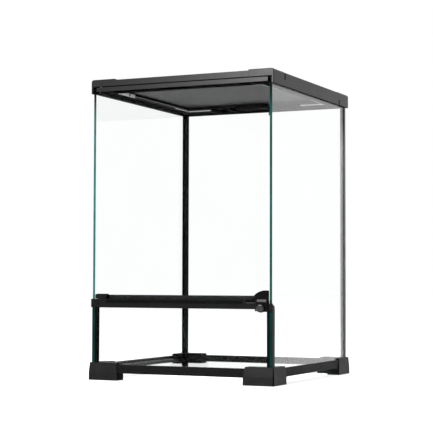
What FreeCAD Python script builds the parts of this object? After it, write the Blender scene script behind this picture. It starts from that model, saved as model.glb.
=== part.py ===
import FreeCAD, Part
import os
import re

import Sketcher

# Front-opening glass terrarium in a knock-down black plastic frame.
# X runs to the right, Y to the rear and Z up. The origin is under the middle of the part, on the floor.

SIZES = (
    # Overall frame
    ("frame_width", 312.0, "outer width of the top frame"),
    ("frame_depth", 329.0, "outer depth of the top frame"),
    ("frame_height", 471.5, "floor to the tops of the corner caps"),
    # Glass
    ("glass", 4.0, "thickness of every pane"),
    ("glass_fit", 0.2, "play between a pane and the channel round it"),
    ("pane_front_set", 3.1, "front plane to the front edges of the side panes"),
    ("low_pane_set", 4.5, "front plane to the low front pane"),
    ("door_set", 3.5, "front plane to the door pane"),
    ("rear_pane_set", 6.7, "rear plane to the outer face of the rear pane"),
    ("pane_seat", 4.0, "underside of a base rail to the bottom edges of the panes"),
    ("pane_entry", 7.8, "how far the side panes go up into the top rails"),
    ("rear_entry", 2.4, "how far the rear pane goes up into its top rail"),
    # Feet
    ("foot_height", 27.5, "height of a foot"),
    ("foot_break", 12.6, "height where the faces of a foot start to lean in"),
    ("foot_lean", 1.2, "how far the outer faces lean in at the top"),
    ("foot_taper", 3.0, "how far the end faces lean in at the top"),
    ("foot_leg", 50.0, "length of each leg of a foot"),
    ("foot_leg_width", 21.0, "width of each leg of a foot"),
    ("foot_flare", 0.75, "how far the feet stand out past the top frame"),
    # Base frame
    ("base_low", 11.3, "floor to the underside of the base rails"),
    ("base_height", 13.2, "height of the base rails"),
    ("base_inset", 1.0, "top frame's outer plane to a base rail's outer face"),
    ("base_play", 0.1, "play between a base rail and the foot round it"),
    ("ledge_width", 12.0, "width of the ledge under the base pane"),
    ("ledge_height", 3.7, "thickness of the ledge under the base pane"),
    ("base_gap", 0.5, "gap round the base pane"),
    ("screw_head_radius", 2.9, "head of a base screw"),
    ("screw_head_height", 2.0, "height of that head"),
    ("screw_radius", 1.5, "shank of a base screw"),
    ("screw_sink", 1.6, "floor to a screw's head"),
    ("screw_grip", 3.0, "how far a screw goes into the rail"),
    ("screw_place", 39.0, "outer plane to a screw, along the rail"),
    ("screw_play", 0.1, "play round a screw"),
    # Posts
    ("post_web", 1.3, "rear posts: wall between the two pane edges"),
    ("post_leg", 4.0, "rear posts: depth of the channels"),
    ("post_bevel", 2.2, "rear posts: bevel of the outer edge"),
    ("side_short", 2.6, "rear pane's outer face to the rear edges of the side panes"),
    ("rear_skin", 0.9, "rear posts: outer and inner walls"),
    ("post_skin", 1.5, "front posts: thin walls"),
    ("front_post_width", 4.2, "front posts: width across the front"),
    ("front_post_web", 3.1, "front posts: wall behind the pane edge"),
    ("strip_skin", 1.0, "outer corner strips: thickness"),
    ("strip_width", 8.0, "outer corner strips: width along the side"),
    ("strip_height", 120.0, "floor to the rounded tops of the corner strips"),
    # Top frame
    ("cap_rise", 1.8, "how far the corner caps stand above the top rails"),
    ("cap_leg_side", 45.0, "length of a corner cap along the side"),
    ("cap_leg_front", 41.0, "length of a front cap along the front"),
    ("cap_leg_rear", 14.0, "length of a rear cap along the rear"),
    ("cap_round", 4.0, "rounding of the caps' upper side edges"),
    ("cap_edge", 1.0, "rounding of the caps' other outer edges"),
    ("rail_height", 20.2, "height of the top rails"),
    ("outer_wall", 3.3, "outer channel walls of the side rails"),
    ("rail_wall", 2.3, "inner channel walls of the rails"),
    ("rim_width", 31.0, "outer plane to the inner edge of the front and side shelves"),
    ("rear_rim", 42.0, "outer plane to the inner edge of the rear shelf"),
    ("shelf_rise", 2.5, "underside of a top rail to the shelf"),
    ("shelf_height", 6.0, "thickness of the shelf that carries the lid"),
    ("shelf_notch", 1.5, "room cut from the shelf behind the upper hinge"),
    ("front_body", 11.5, "depth of the front rail's head"),
    ("stop_drop", 1.8, "how far the upper door stop hangs below the shelf"),
    ("stop_skin", 2.5, "thickness of the upper door stop"),
    ("band_height", 9.3, "height of the band over the door"),
    # Braces between the caps and the rails, on the inner edge of the shelf
    ("brace_leg", 55.0, "length of a brace along the side"),
    ("brace_end", 16.0, "length of a front brace along the front"),
    ("brace_rear", 42.0, "length of a rear brace along the rear"),
    ("brace_skin", 1.0, "thickness of a brace"),
    ("brace_height", 5.0, "height of a brace"),
    ("brace_screw_near", 8.0, "corner of the shelf to a brace's first screw"),
    ("brace_screw_far", 36.5, "corner of the shelf to a brace's second screw"),
    ("brace_screw_rear", 30.0, "corner of the shelf to the screw at the rear"),
    ("brace_screw_radius", 1.2, "shank of a brace's screw"),
    ("brace_screw_grip", 6.0, "how far that screw goes into the shelf"),
    ("brace_head_radius", 2.0, "head of a brace's screw"),
    ("brace_head_height", 0.8, "height of that head"),
    # Cable inlets
    ("inlet_place", 76.0, "outer plane to the far end of the long inlet"),
    ("inlet_long", 26.0, "width of the long inlet"),
    ("inlet_gap", 7.0, "wall between the two inlets"),
    ("inlet_short", 11.0, "width of the short inlet"),
    ("inlet_rise", 3.1, "underside of the rear rail to the inlets"),
    ("inlet_height", 4.6, "height of the inlets"),
    ("gate_cover", 1.5, "how far a gate laps past the inlets"),
    ("gate_lap", 1.2, "how far a gate laps above and below them"),
    ("gate_skin", 1.8, "thickness of a gate"),
    ("gate_lip", 1.0, "lips of the track that hold a gate"),
    ("gate_play", 0.1, "play of a gate in its track"),
    ("gate_grip", 8.0, "width of a gate's finger rib"),
    # Vent bar
    ("bar_low", 113.0, "floor to the underside of the vent bar"),
    ("bar_height", 13.5, "height of the vent bar's front"),
    ("bar_plate", 2.5, "thickness of the plates on the bar's front"),
    ("bar_depth", 16.5, "front plane to the back of the bar"),
    ("bar_entry", 3.0, "how far the low front pane goes up into the bar"),
    ("bar_stop_height", 6.5, "height of the lower door stop"),
    ("bar_stop_depth", 6.0, "thickness of the lower door stop"),
    ("end_length", 25.0, "outer plane to the inner end of the left end cap"),
    ("end_rise", 0.4, "underside of the bar to the left end cap"),
    ("end_skin", 1.2, "how far the bar's ends stand out past the side panes' channels"),
    ("end_block", 9.0, "height of the block that holds the lower hinge pin"),
    ("end_block_depth", 6.3, "front plane to the back of that block"),
    ("grille_end", 44.0, "outer plane on the right to the end of the grille"),
    ("louvre_start", 28.0, "outer plane on the left to the first louvre"),
    ("louvre_length", 236.0, "run of the louvres"),
    ("louvre_pitch", 3.9, "step of the louvres"),
    ("louvre_width", 1.9, "width of a louvre"),
    ("louvre_slant", 2.0, "how far a louvre leans to the right"),
    ("louvre_rise", 7.5, "underside of the bar to the louvres"),
    ("louvre_height", 4.7, "height of the louvres"),
    ("window_margin", 0.6, "how far the bar's window runs past the louvres"),
    ("window_wall", 2.2, "wall behind the bar's window"),
    ("outlet_set", 10.0, "front plane to the outlet under that wall"),
    ("outlet_height", 2.8, "height of the outlet"),
    ("bar_end_cut", 6.2, "length of the notch in the bar's upper right end"),
    ("bar_end_rise", 1.8, "channel of the low pane to that notch"),
    ("lock_start", 30.0, "outer plane on the right to the lock plate's tall part"),
    ("lock_drop", 3.1, "how far the lock plate hangs below the bar"),
    ("lock_step", 3.5, "step down from the bar to the plain stretch beside the lock"),
    ("lock_shoulder", 4.7, "step down from the bar to the lock plate in front of the side pane"),
    # Door
    ("door_gap", 0.3, "gap under the door's hinge clamp"),
    ("door_head_gap", 1.5, "gap over the door's top rail"),
    ("door_rail_height", 6.5, "height of the door's top rail"),
    ("door_side_gap", 2.0, "gap between the door and the side panes"),
    ("door_stop_gap", 1.0, "gap between the door and its stops"),
    ("hinge_inset", 17.0, "outer plane to the hinge axis"),
    ("hinge_set", 1.9, "front plane to the hinge axis"),
    ("pin_radius", 1.25, "hinge pins"),
    ("pin_play", 0.05, "running play round a pin"),
    ("pin_reach", 7.0, "how far a pin goes into the frame"),
    ("pin_grip", 5.5, "how far a pin goes into the clamp or the rail"),
    ("clamp_left", 5.0, "hinge axis to the left end of the clamp, and of the walls behind the glass"),
    ("clamp_right", 12.0, "hinge axis to the clamp's right end"),
    ("clamp_height", 7.7, "height of the hinge clamp"),
    ("clamp_web", 1.5, "wall of the clamp and the rail over the edge of the glass"),
    ("clamp_set", 0.2, "front plane to the front of the clamp and the rail"),
    ("clamp_back", 1.6, "wall of the clamp and the rail behind the glass"),
    ("clamp_room", 0.8, "clearance between the clamp and the end of the stop"),
    ("hinge_clear", 0.5, "clearance between the swinging door and the wall behind its hinge"),
    # Door latch
    ("latch_gap", 0.3, "lock plate to the back of the latch bracket"),
    ("latch_plate", 2.2, "thickness of the latch bracket"),
    ("bracket_inset", 12.0, "outer plane to the middle of the bracket's curve"),
    ("bracket_radius", 26.0, "radius of the bracket's curve"),
    ("bracket_side", 8.5, "outer plane to the right side of the bracket"),
    ("tongue_radius", 6.8, "radius of the bracket's tongue round the knob"),
    ("tongue_drop", 17.5, "length of the tongue below the door"),
    ("rib_length", 14.5, "length of the finger rib on the bracket"),
    ("rib_inset", 1.7, "right side of the bracket to the finger rib"),
    ("rib_drop", 1.1, "underside of the door's clamp to the finger rib's axis"),
    ("knob_inset", 19.5, "outer plane to the knob"),
    ("knob_height", 115.0, "floor to the knob's axis"),
    ("knob_radius", 6.4, "radius of the knob"),
    ("knob_length", 5.5, "how far the knob stands out"),
    ("knob_gap", 0.2, "gap between the knob and the bracket"),
    ("knob_round", 2.4, "rounding of the knob's front edge"),
    ("shaft_radius", 1.5, "shaft of the knob"),
    ("shaft_play", 0.05, "running play round the shaft"),
    ("cam_length", 10.0, "length of the cam"),
    ("cam_width", 5.0, "width of the cam"),
    ("cam_skin", 1.4, "thickness of the cam"),
    ("cam_gap", 0.2, "gap between the cam and the lock plate"),
    ("cam_room", 0.5, "room round the cam in its slot and pocket"),
    # Lid
    ("lid_gap", 0.5, "gap round the lid"),
    ("lid_bar", 14.0, "width of the lid's bars"),
    ("lid_height", 8.8, "height of the lid's bars"),
    ("mesh_rise", 3.4, "underside of the lid to the mesh"),
    ("mesh_skin", 0.8, "thickness of the mesh"),
    ("mesh_grip", 6.0, "how far the mesh goes into the bars"),
    ("mesh_play", 0.1, "play of the mesh in its groove"),
    ("mesh_wire", 1.6, "width of the webs between the gaps"),
    ("mesh_count", 17, "gaps along each side of the mesh"),
    # Lid latches
    ("turn_place", 7.5, "end of a side rail to a latch's pivot"),
    ("turn_inset", 6.2, "outer plane to a latch's pivot"),
    ("turn_length", 18.0, "pivot to the tip of a latch"),
    ("turn_width", 7.0, "width of a latch"),
    ("turn_skin", 1.6, "thickness of a latch"),
    ("turn_play", 0.2, "play under, over and beside a latch"),
    ("turn_head", 0.7, "thickness of a pivot's head"),
    ("turn_head_radius", 3.0, "radius of a pivot's head"),
    ("turn_pin_radius", 2.0, "radius of a pivot"),
    ("turn_pin_depth", 5.0, "how far a pivot goes into the rail"),
)

doc = FreeCAD.newDocument("glass_terrarium")
sheet = doc.addObject("Spreadsheet::Sheet", "Sizes")
for row, (alias, value, note) in enumerate(SIZES, 1):
    sheet.set(f"A{row}", note)
    sheet.set(f"B{row}", str(value))
    sheet.setAlias(f"B{row}", alias)
doc.recompute()
ALIASES = {alias for alias, value, note in SIZES}
nodes = []

# Places that several pieces share, as formulas of the sizes above.
HALF = "frame_width / 2"
MIDDLE = "((latch_gap + latch_plate + knob_gap + knob_length - foot_flare) / 2)"
FRONT = f"({MIDDLE} - frame_depth / 2)"
REAR = f"({MIDDLE} + frame_depth / 2)"

SLOT_OUT = f"({HALF} - outer_wall)"
PANE_OUT = f"({SLOT_OUT} - glass_fit)"
PANE_IN = f"({PANE_OUT} - glass)"
SLOT_IN = f"({PANE_IN} - glass_fit)"
BODY_IN = f"({SLOT_IN} - rail_wall)"
BASE_OUT = f"({HALF} - base_inset)"

PANE_FRONT = f"({FRONT} + pane_front_set)"
LOW_FRONT = f"({FRONT} + low_pane_set)"
LOW_REAR = f"({LOW_FRONT} + glass)"
DOOR_FRONT = f"({FRONT} + door_set)"
DOOR_REAR = f"({DOOR_FRONT} + glass)"
STOP_FRONT = f"({DOOR_REAR} + door_stop_gap)"
HEAD_STOP = f"({DOOR_REAR} + clamp_back + door_stop_gap)"
HEAD_REAR = f"({FRONT} + front_body)"
BACK_OUT = f"({REAR} - rear_pane_set)"
BACK_IN = f"({BACK_OUT} - glass)"
BACK_BODY = f"({BACK_IN} - glass_fit - rail_wall)"
SIDE_END = f"({BACK_OUT} - side_short)"
BACK_END = f"({SLOT_IN} - post_web - glass_fit)"
LOW_END = f"({SLOT_IN} - front_post_web - glass_fit)"

BASE_TOP = "(base_low + base_height)"
SEAT = "(base_low + pane_seat)"
LEDGE_TOP = "(base_low + ledge_height)"
LEDGE_IN = f"({BODY_IN} - ledge_width)"

TOP = "(frame_height - cap_rise)"
UNDER = f"({TOP} - rail_height)"
SHELF_LOW = f"({UNDER} + shelf_rise)"
SHELF_TOP = f"({SHELF_LOW} + shelf_height)"
BAND_LOW = f"({TOP} - band_height)"
PANE_TOP = f"({UNDER} + pane_entry)"
BACK_TOP = f"({UNDER} + rear_entry)"

BAR_TOP = "(bar_low + bar_height)"
LOW_TOP = "(bar_low + bar_entry)"
PLATE_REAR = f"({FRONT} + bar_plate)"
DOOR_LOW = f"({BAR_TOP} + door_gap + clamp_web)"
DOOR_TOP = f"({BAND_LOW} - door_head_gap - clamp_web)"
HINGE_X = f"(hinge_inset - {HALF})"
HINGE_Y = f"({FRONT} + hinge_set)"
KNOB_X = f"({HALF} - knob_inset)"
TONGUE_REAR = f"({FRONT} - latch_gap)"
TONGUE_FRONT = f"({TONGUE_REAR} - latch_plate)"

LID_OUT = f"({BODY_IN} - lid_gap)"
LID_FRONT = f"({HEAD_REAR} + lid_gap)"
LID_REAR = f"({BACK_BODY} - lid_gap)"
LID_TOP = f"({SHELF_TOP} + lid_height)"
MESH_LOW = f"({SHELF_TOP} + mesh_rise)"

# Room that a cutting block has past the face that it opens.
PAST = 1.0
# How close two places are to count as the same.
NEAR = 1e-4

AXES = {
    "x": FreeCAD.Rotation(FreeCAD.Vector(0, 1, 0), 90),
    "y": FreeCAD.Rotation(FreeCAD.Vector(1, 0, 0), -90),
    "z": FreeCAD.Rotation(),
}


def bind(item, prop, text):
    """Tie a property to a formula of the sheet's sizes."""
    formula = re.sub(r"[a-z_]+", lambda word: f"Sizes.{word[0]}" if word[0] in ALIASES else word[0], text)
    item.setExpression(prop, formula)


def across(sign, low, high):
    """The X span between two distances from the middle, on one side of it."""
    if sign > 0:
        return low, high
    return f"-({high})", f"-({low})"


def inward(end, near, far):
    """The Y span between two distances inward from the front or the rear plane."""
    if end == "front":
        return f"{FRONT} + {near}", f"{FRONT} + {far}"
    return f"{REAR} - ({far})", f"{REAR} - ({near})"


def block(name, x, y, z):
    """A block between two formulas along each axis."""
    item = doc.addObject("Part::Box", name)
    for prop, axis, (low, high) in (("Length", "x", x), ("Width", "y", y), ("Height", "z", z)):
        bind(item, prop, f"({high}) - ({low})")
        bind(item, f"Placement.Base.{axis}", low)
    return item


def rod(name, axis, start, radius, length):
    """A round rod from a start point along one axis."""
    item = doc.addObject("Part::Cylinder", name)
    item.Placement = FreeCAD.Placement(FreeCAD.Vector(), AXES[axis])
    bind(item, "Radius", radius)
    bind(item, "Height", length)
    for letter, text in zip("xyz", start):
        bind(item, f"Placement.Base.{letter}", text)
    return item


def joined(name, items):
    """Several solids fused into one."""
    item = doc.addObject("Part::MultiFuse", name)
    item.Shapes = items
    item.Refine = True
    return item


def without(name, base, tools):
    """A solid less the tools that cut it."""
    item = doc.addObject("Part::Cut", name)
    item.Base = base
    item.Tool = tools[0] if len(tools) == 1 else joined(f"{name}_cuts", tools)
    item.Refine = True
    return item


def shared(name, first, second):
    """What two solids have in common."""
    item = doc.addObject("Part::Common", name)
    item.Base = first
    item.Tool = second
    return item


def node(label, item):
    """Name a finished sub-part."""
    item.Label = label
    nodes.append(item)
    return item


def outline(body, name, role, lift, points):
    """A closed sketch through points given as formulas, on one of the body's own planes."""
    drawing = body.newObject("Sketcher::SketchObject", name)
    plane = next(item for item in body.Origin.OriginFeatures if item.Role == role)
    drawing.AttachmentSupport = (plane, [""])
    drawing.MapMode = "FlatFace"
    bind(drawing, "AttachmentOffset.Base.z", lift)
    count = len(points)
    turn = FreeCAD.Rotation(FreeCAD.Vector(0, 0, 1), 360.0 / count)
    corners = [FreeCAD.Vector(1, 0, 0)]
    for _ in range(count - 1):
        corners.append(turn.multVec(corners[-1]))
    for index in range(count):
        drawing.addGeometry(Part.LineSegment(corners[index], corners[(index + 1) % count]))
    for index in range(count):
        drawing.addConstraint(Sketcher.Constraint("Coincident", index, 2, (index + 1) % count, 1))
    for index, point in enumerate(points):
        for kind, text in zip(("DistanceX", "DistanceY"), point):
            place = drawing.addConstraint(Sketcher.Constraint(kind, -1, 1, index, 1, 1.0))
            bind(drawing, f"Constraints[{place}]", text)
    return drawing


def extrusion(name, role, points, lift, length):
    """A body whose outline is drawn out straight from its plane."""
    body = doc.addObject("PartDesign::Body", name)
    drawing = outline(body, f"{name}_outline", role, lift, points)
    pad = body.newObject("PartDesign::Pad", f"{name}_pad")
    pad.Profile = drawing
    bind(pad, "Length", length)
    return body


def along_x(name, points, span):
    """A bar along X, from its Y-Z outline."""
    low, high = span
    return extrusion(name, "YZ_Plane", points, low, f"({high}) - ({low})")


def along_y(name, points, span):
    """A bar along Y, from its X-Z outline, whose plane faces forward."""
    low, high = span
    return extrusion(name, "XZ_Plane", points, f"-({high})", f"({high}) - ({low})")


def along_z(name, points, span):
    """A bar along Z, from its X-Y outline."""
    low, high = span
    return extrusion(name, "XY_Plane", points, low, f"({high}) - ({low})")


def mirrored(sign, points):
    """Outline points with X turned to one side of the middle."""
    return [(f"{sign} * ({x})", y) for x, y in points]


SIDES = (("left", -1), ("right", 1))
CORNERS = (("fl", -1, "front"), ("fr", 1, "front"), ("rl", -1, "rear"), ("rr", 1, "rear"))


def screw_places(sign, end):
    """The two base screws of one foot: one into the front or rear rail, one into the side rail."""
    body = "front_body" if end == "front" else f"({REAR} - {BACK_BODY})"
    along = across(sign, f"{HALF} - screw_place", "0")[0 if sign > 0 else 1]
    inset = f"{body} + ledge_width / 4"
    beside = across(sign, f"{BODY_IN} - ledge_width / 2", "0")[0 if sign > 0 else 1]
    return ((along, inward(end, inset, "0")[0 if end == "front" else 1]),
            (beside, inward(end, "screw_place", "0")[0 if end == "front" else 1]))


def screw_holes(label, places, low, high, radius):
    """Upright round tools at the screws' places."""
    return [rod(f"{label}_hole_{index}", "z", (x, y, low), radius, f"({high}) - ({low})")
            for index, (x, y) in enumerate(places)]


def foot(code, sign, end):
    """L-shaped corner foot that the base rails lie in, with slots for the panes in its top."""
    label = f"base_corner_{code}"

    def corner(lean, taper):
        near = f"{lean} - foot_flare"
        width = f"{near} + foot_leg_width - {lean}"
        tip = f"foot_leg - foot_flare - {taper}"
        plan = ((near, near), (tip, near), (tip, width), (width, width), (width, tip), (near, tip))
        return [(f"{sign} * ({HALF} - ({a}))", inward(end, b, b)[0]) for a, b in plan]

    body = along_z(f"{label}_body", corner("0", "0"), ("0", "foot_break"))
    lower = outline(body, f"{label}_lower", "XY_Plane", "foot_break", corner("0", "0"))
    upper = outline(body, f"{label}_upper", "XY_Plane", "foot_height", corner("foot_lean", "foot_taper"))
    loft = body.newObject("PartDesign::AdditiveLoft", f"{label}_lean")
    loft.Profile = lower
    loft.Sections = [upper]
    loft.Ruled = True

    inside = f"{HALF} - foot_leg - {PAST}"
    deep = f"foot_leg + {PAST}"
    above = ("base_low + base_height", f"foot_height + {PAST}")
    tools = [block(f"{label}_tunnel", across(sign, inside, f"{BASE_OUT} + base_play"),
                   inward(end, "base_inset - base_play", deep), ("base_low", BASE_TOP))]
    if end == "front":
        side_run = (f"{PANE_FRONT} - glass_fit", f"{FRONT} + {deep}")
        pane_run = (f"{LOW_FRONT} - glass_fit", f"{LOW_REAR} + glass_fit")
        pane_end = f"{LOW_END} + glass_fit"
    else:
        side_run = (f"{REAR} - ({deep})", f"{SIDE_END} + glass_fit")
        pane_run = (f"{BACK_IN} - glass_fit", f"{BACK_OUT} + glass_fit")
        pane_end = f"{BACK_END} + glass_fit"
    tools.append(block(f"{label}_side_slot", across(sign, SLOT_IN, SLOT_OUT), side_run, above))
    tools.append(block(f"{label}_end_slot", across(sign, inside, pane_end), pane_run, above))
    places = screw_places(sign, end)
    head = "screw_sink + screw_head_height"
    tools += screw_holes(f"{label}_sink", places, f"-{PAST}", head, "screw_head_radius + screw_play")
    tools += screw_holes(f"{label}_shank", places, head, "base_low", "screw_radius + screw_play")
    return node(label, without(f"{label}_cut", body, tools))


def base_rails():
    """Four base rails with channels for the panes and a ledge under the base pane."""
    full = (f"-{BASE_OUT}", BASE_OUT)
    ledge_run = (f"-{LEDGE_IN}", LEDGE_IN)
    ledge_span = ("base_low", LEDGE_TOP)
    grip = "base_low + screw_grip + screw_play"
    for end, channel, inner in (("front", (LOW_FRONT, LOW_REAR), HEAD_REAR),
                                ("rear", (BACK_IN, BACK_OUT), BACK_BODY)):
        label = f"base_rail_{end}"
        outer = inward(end, "base_inset", "base_inset")[0]
        near, far = f"{channel[0]} - glass_fit", f"{channel[1]} + glass_fit"
        walls = (outer, near, far, inner) if end == "front" else (inner, near, far, outer)
        first, slot_near, slot_far, last = walls
        body = along_x(f"{label}_body", [
            (first, "base_low"), (first, BASE_TOP), (slot_near, BASE_TOP), (slot_near, SEAT),
            (slot_far, SEAT), (slot_far, BASE_TOP), (last, BASE_TOP), (last, "base_low")], full)
        if end == "front":
            ledge_depth = (inner, f"{inner} + ledge_width")
        else:
            ledge_depth = (f"{inner} - ledge_width", inner)
        ledge = block(f"{label}_ledge", ledge_run, ledge_depth, ledge_span)
        tools = []
        for code, sign, corner_end in CORNERS:
            if corner_end != end:
                continue
            tools += screw_holes(f"{label}_{code}", screw_places(sign, end)[:1], "base_low", grip,
                                 "screw_radius + screw_play")
            side_run = (inner, f"{SIDE_END} + glass_fit")
            if end == "front":
                side_run = (f"{PANE_FRONT} - glass_fit", inner)
            tools.append(block(f"{label}_{code}_slot", across(sign, SLOT_IN, SLOT_OUT), side_run,
                               (SEAT, f"{BASE_TOP} + {PAST}")))
        node(label, without(f"{label}_cut", joined(f"{label}_solid", [body, ledge]), tools))
    for side, sign in SIDES:
        label = f"base_rail_{side}"
        body = along_y(f"{label}_body", mirrored(sign, [
            (BASE_OUT, "base_low"), (BASE_OUT, BASE_TOP), (SLOT_OUT, BASE_TOP), (SLOT_OUT, SEAT),
            (SLOT_IN, SEAT), (SLOT_IN, BASE_TOP), (BODY_IN, BASE_TOP), (BODY_IN, LEDGE_TOP),
            (LEDGE_IN, LEDGE_TOP), (LEDGE_IN, "base_low")]), (HEAD_REAR, BACK_BODY))
        tools = []
        for end in ("front", "rear"):
            tools += screw_holes(f"{label}_{end}", screw_places(sign, end)[1:], "base_low", grip,
                                 "screw_radius + screw_play")
        node(label, without(f"{label}_cut", body, tools))


def base_screws():
    """The screws that hold the feet to the rails, driven up from below."""
    screws = []
    for code, sign, end in CORNERS:
        for index, (x, y) in enumerate(screw_places(sign, end)):
            name = f"screw_{code}_{index}"
            head = rod(f"{name}_head", "z", (x, y, "screw_sink"), "screw_head_radius", "screw_head_height")
            shank = rod(f"{name}_shank", "z", (x, y, "screw_sink"), "screw_radius",
                        "base_low + screw_grip - screw_sink")
            screws.append(joined(name, [head, shank]))
    group = doc.addObject("Part::Compound", "base_screws_group")
    group.Links = screws
    node("base_screws", group)


def panes():
    """The fixed glass."""
    for side, sign in SIDES:
        node(f"pane_{side}", block(f"pane_{side}_glass", across(sign, PANE_IN, PANE_OUT),
                                   (PANE_FRONT, SIDE_END), (SEAT, PANE_TOP)))
    node("pane_rear", block("pane_rear_glass", (f"-{BACK_END}", BACK_END), (BACK_IN, BACK_OUT),
                            (SEAT, BACK_TOP)))
    node("pane_front_low", block("pane_front_low_glass", (f"-{LOW_END}", LOW_END), (LOW_FRONT, LOW_REAR),
                                 (SEAT, LOW_TOP)))
    node("pane_base", block("pane_base_glass", (f"base_gap - {BODY_IN}", f"{BODY_IN} - base_gap"),
                            (f"{HEAD_REAR} + base_gap", f"{BACK_BODY} - base_gap"),
                            (LEDGE_TOP, f"{LEDGE_TOP} + glass")))


def posts(side, sign):
    """Rear corner post with two channels, front post with one, and the strip outside the front corner."""
    skin_x, skin_y = f"{SLOT_OUT} + rear_skin", f"{BACK_OUT} + glass_fit + rear_skin"
    tip_x, tip_y = f"{BACK_END} - post_leg", f"{SIDE_END} - post_leg"
    floor_x, floor_y = f"{BACK_END} + glass_fit", f"{SIDE_END} + glass_fit"
    near, far = f"{BACK_IN} - glass_fit", f"{BACK_OUT} + glass_fit"
    bead = f"{near} - rear_skin"
    node(f"rear_post_{side}", along_z(f"rear_post_{side}_body", mirrored(sign, [
        (skin_x, f"{skin_y} - post_bevel"), (f"{skin_x} - post_bevel", skin_y), (tip_x, skin_y), (tip_x, far),
        (floor_x, far), (floor_x, near), (tip_x, near), (tip_x, bead), (SLOT_IN, bead), (SLOT_IN, floor_y),
        (SLOT_OUT, floor_y), (SLOT_OUT, tip_y), (skin_x, tip_y)]), ("foot_height", UNDER)))

    lip = f"{SLOT_IN} - front_post_width"
    floor = f"{LOW_END} + glass_fit"
    near, far = f"{LOW_FRONT} - glass_fit", f"{LOW_REAR} + glass_fit"
    face, back = f"{near} - post_skin", f"{far} + post_skin"
    node(f"front_post_{side}", along_z(f"front_post_{side}_body", mirrored(sign, [
        (SLOT_IN, face), (SLOT_IN, back), (lip, back), (lip, far), (floor, far), (floor, near),
        (lip, near), (lip, face)]), ("foot_height", "bar_low")))

    skin = across(sign, PANE_OUT, f"{PANE_OUT} + strip_skin")
    run = (PANE_FRONT, f"{PANE_FRONT} + strip_width")
    shoulder = "strip_height - strip_width"
    upright = block(f"corner_strip_{side}_upright", skin, run, ("foot_height", shoulder))
    top = block(f"corner_strip_{side}_top", skin, run, (shoulder, "strip_height"))
    curve = rod(f"corner_strip_{side}_curve", "x", (skin[0], PANE_FRONT, shoulder), "strip_width",
                "strip_skin")
    node(f"corner_strip_{side}", joined(f"corner_strip_{side}_solid",
                                        [upright, shared(f"corner_strip_{side}_round", top, curve)]))


def round_outer_edges(body, sign, end):
    """Round the upper side edge of a corner cap widely, then the edges round its front or rear face."""
    doc.recompute()
    bounds = body.Tip.Shape.BoundBox
    outer_x = bounds.XMax if sign > 0 else bounds.XMin
    outer_y = bounds.YMin if end == "front" else bounds.YMax

    def is_upper_side(edge, centre):
        return abs(centre.x - outer_x) < NEAR and abs(centre.z - bounds.ZMax) < NEAR

    def is_round_face(edge, centre):
        if abs(centre.y - outer_y) > NEAR:
            return False
        curved = edge.Curve.TypeId == "Part::GeomCircle"
        return curved or abs(centre.x - outer_x) < NEAR or abs(centre.z - bounds.ZMax) < NEAR

    for name, radius, is_wanted in (("round", "cap_round", is_upper_side),
                                    ("edge", "cap_edge", is_round_face)):
        base = body.Tip
        chosen = [f"Edge{index}" for index, edge in enumerate(base.Shape.Edges, 1)
                  if is_wanted(edge, edge.CenterOfMass)]
        rounding = body.newObject("PartDesign::Fillet", f"{body.Name}_{name}")
        rounding.Base = (base, chosen)
        bind(rounding, "Radius", radius)
        body.Tip = rounding
        doc.recompute()


BRACE_OUT = f"({HALF} - rim_width)"
BRACE_IN = f"({BRACE_OUT} - brace_skin)"
BRACE_MIDDLE = f"({SHELF_LOW} + brace_height / 2)"
RIMS = {"front": "rim_width", "rear": "rear_rim"}


def brace_screw(name, sign, end, place, near, far, radius):
    """A round piece on the axis of a screw beside the lid, between two distances from the middle."""
    low, high = across(sign, near, far)
    y = inward(end, f"{RIMS[end]} + {place}", f"{RIMS[end]} + {place}")[0]
    return rod(name, "x", (low, y, BRACE_MIDDLE), radius, f"({high}) - ({low})")


def rear_screw(name, sign, near, far, radius):
    """A round piece on the axis of a screw behind the lid, between two distances from the rear plane."""
    low, high = inward("rear", near, far)
    x = f"{sign} * ({BRACE_OUT} - brace_screw_rear)"
    return rod(name, "y", (x, low, BRACE_MIDDLE), radius, f"({high}) - ({low})")


def brace_hole(label, sign, end, place):
    """Room for a brace's screw in the shelf."""
    return brace_screw(f"{label}_{end}_{place}_hole", sign, end, place, f"{BRACE_OUT} - {PAST}",
                       f"{BRACE_OUT} + brace_screw_grip + screw_play", "brace_screw_radius + screw_play")


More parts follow.
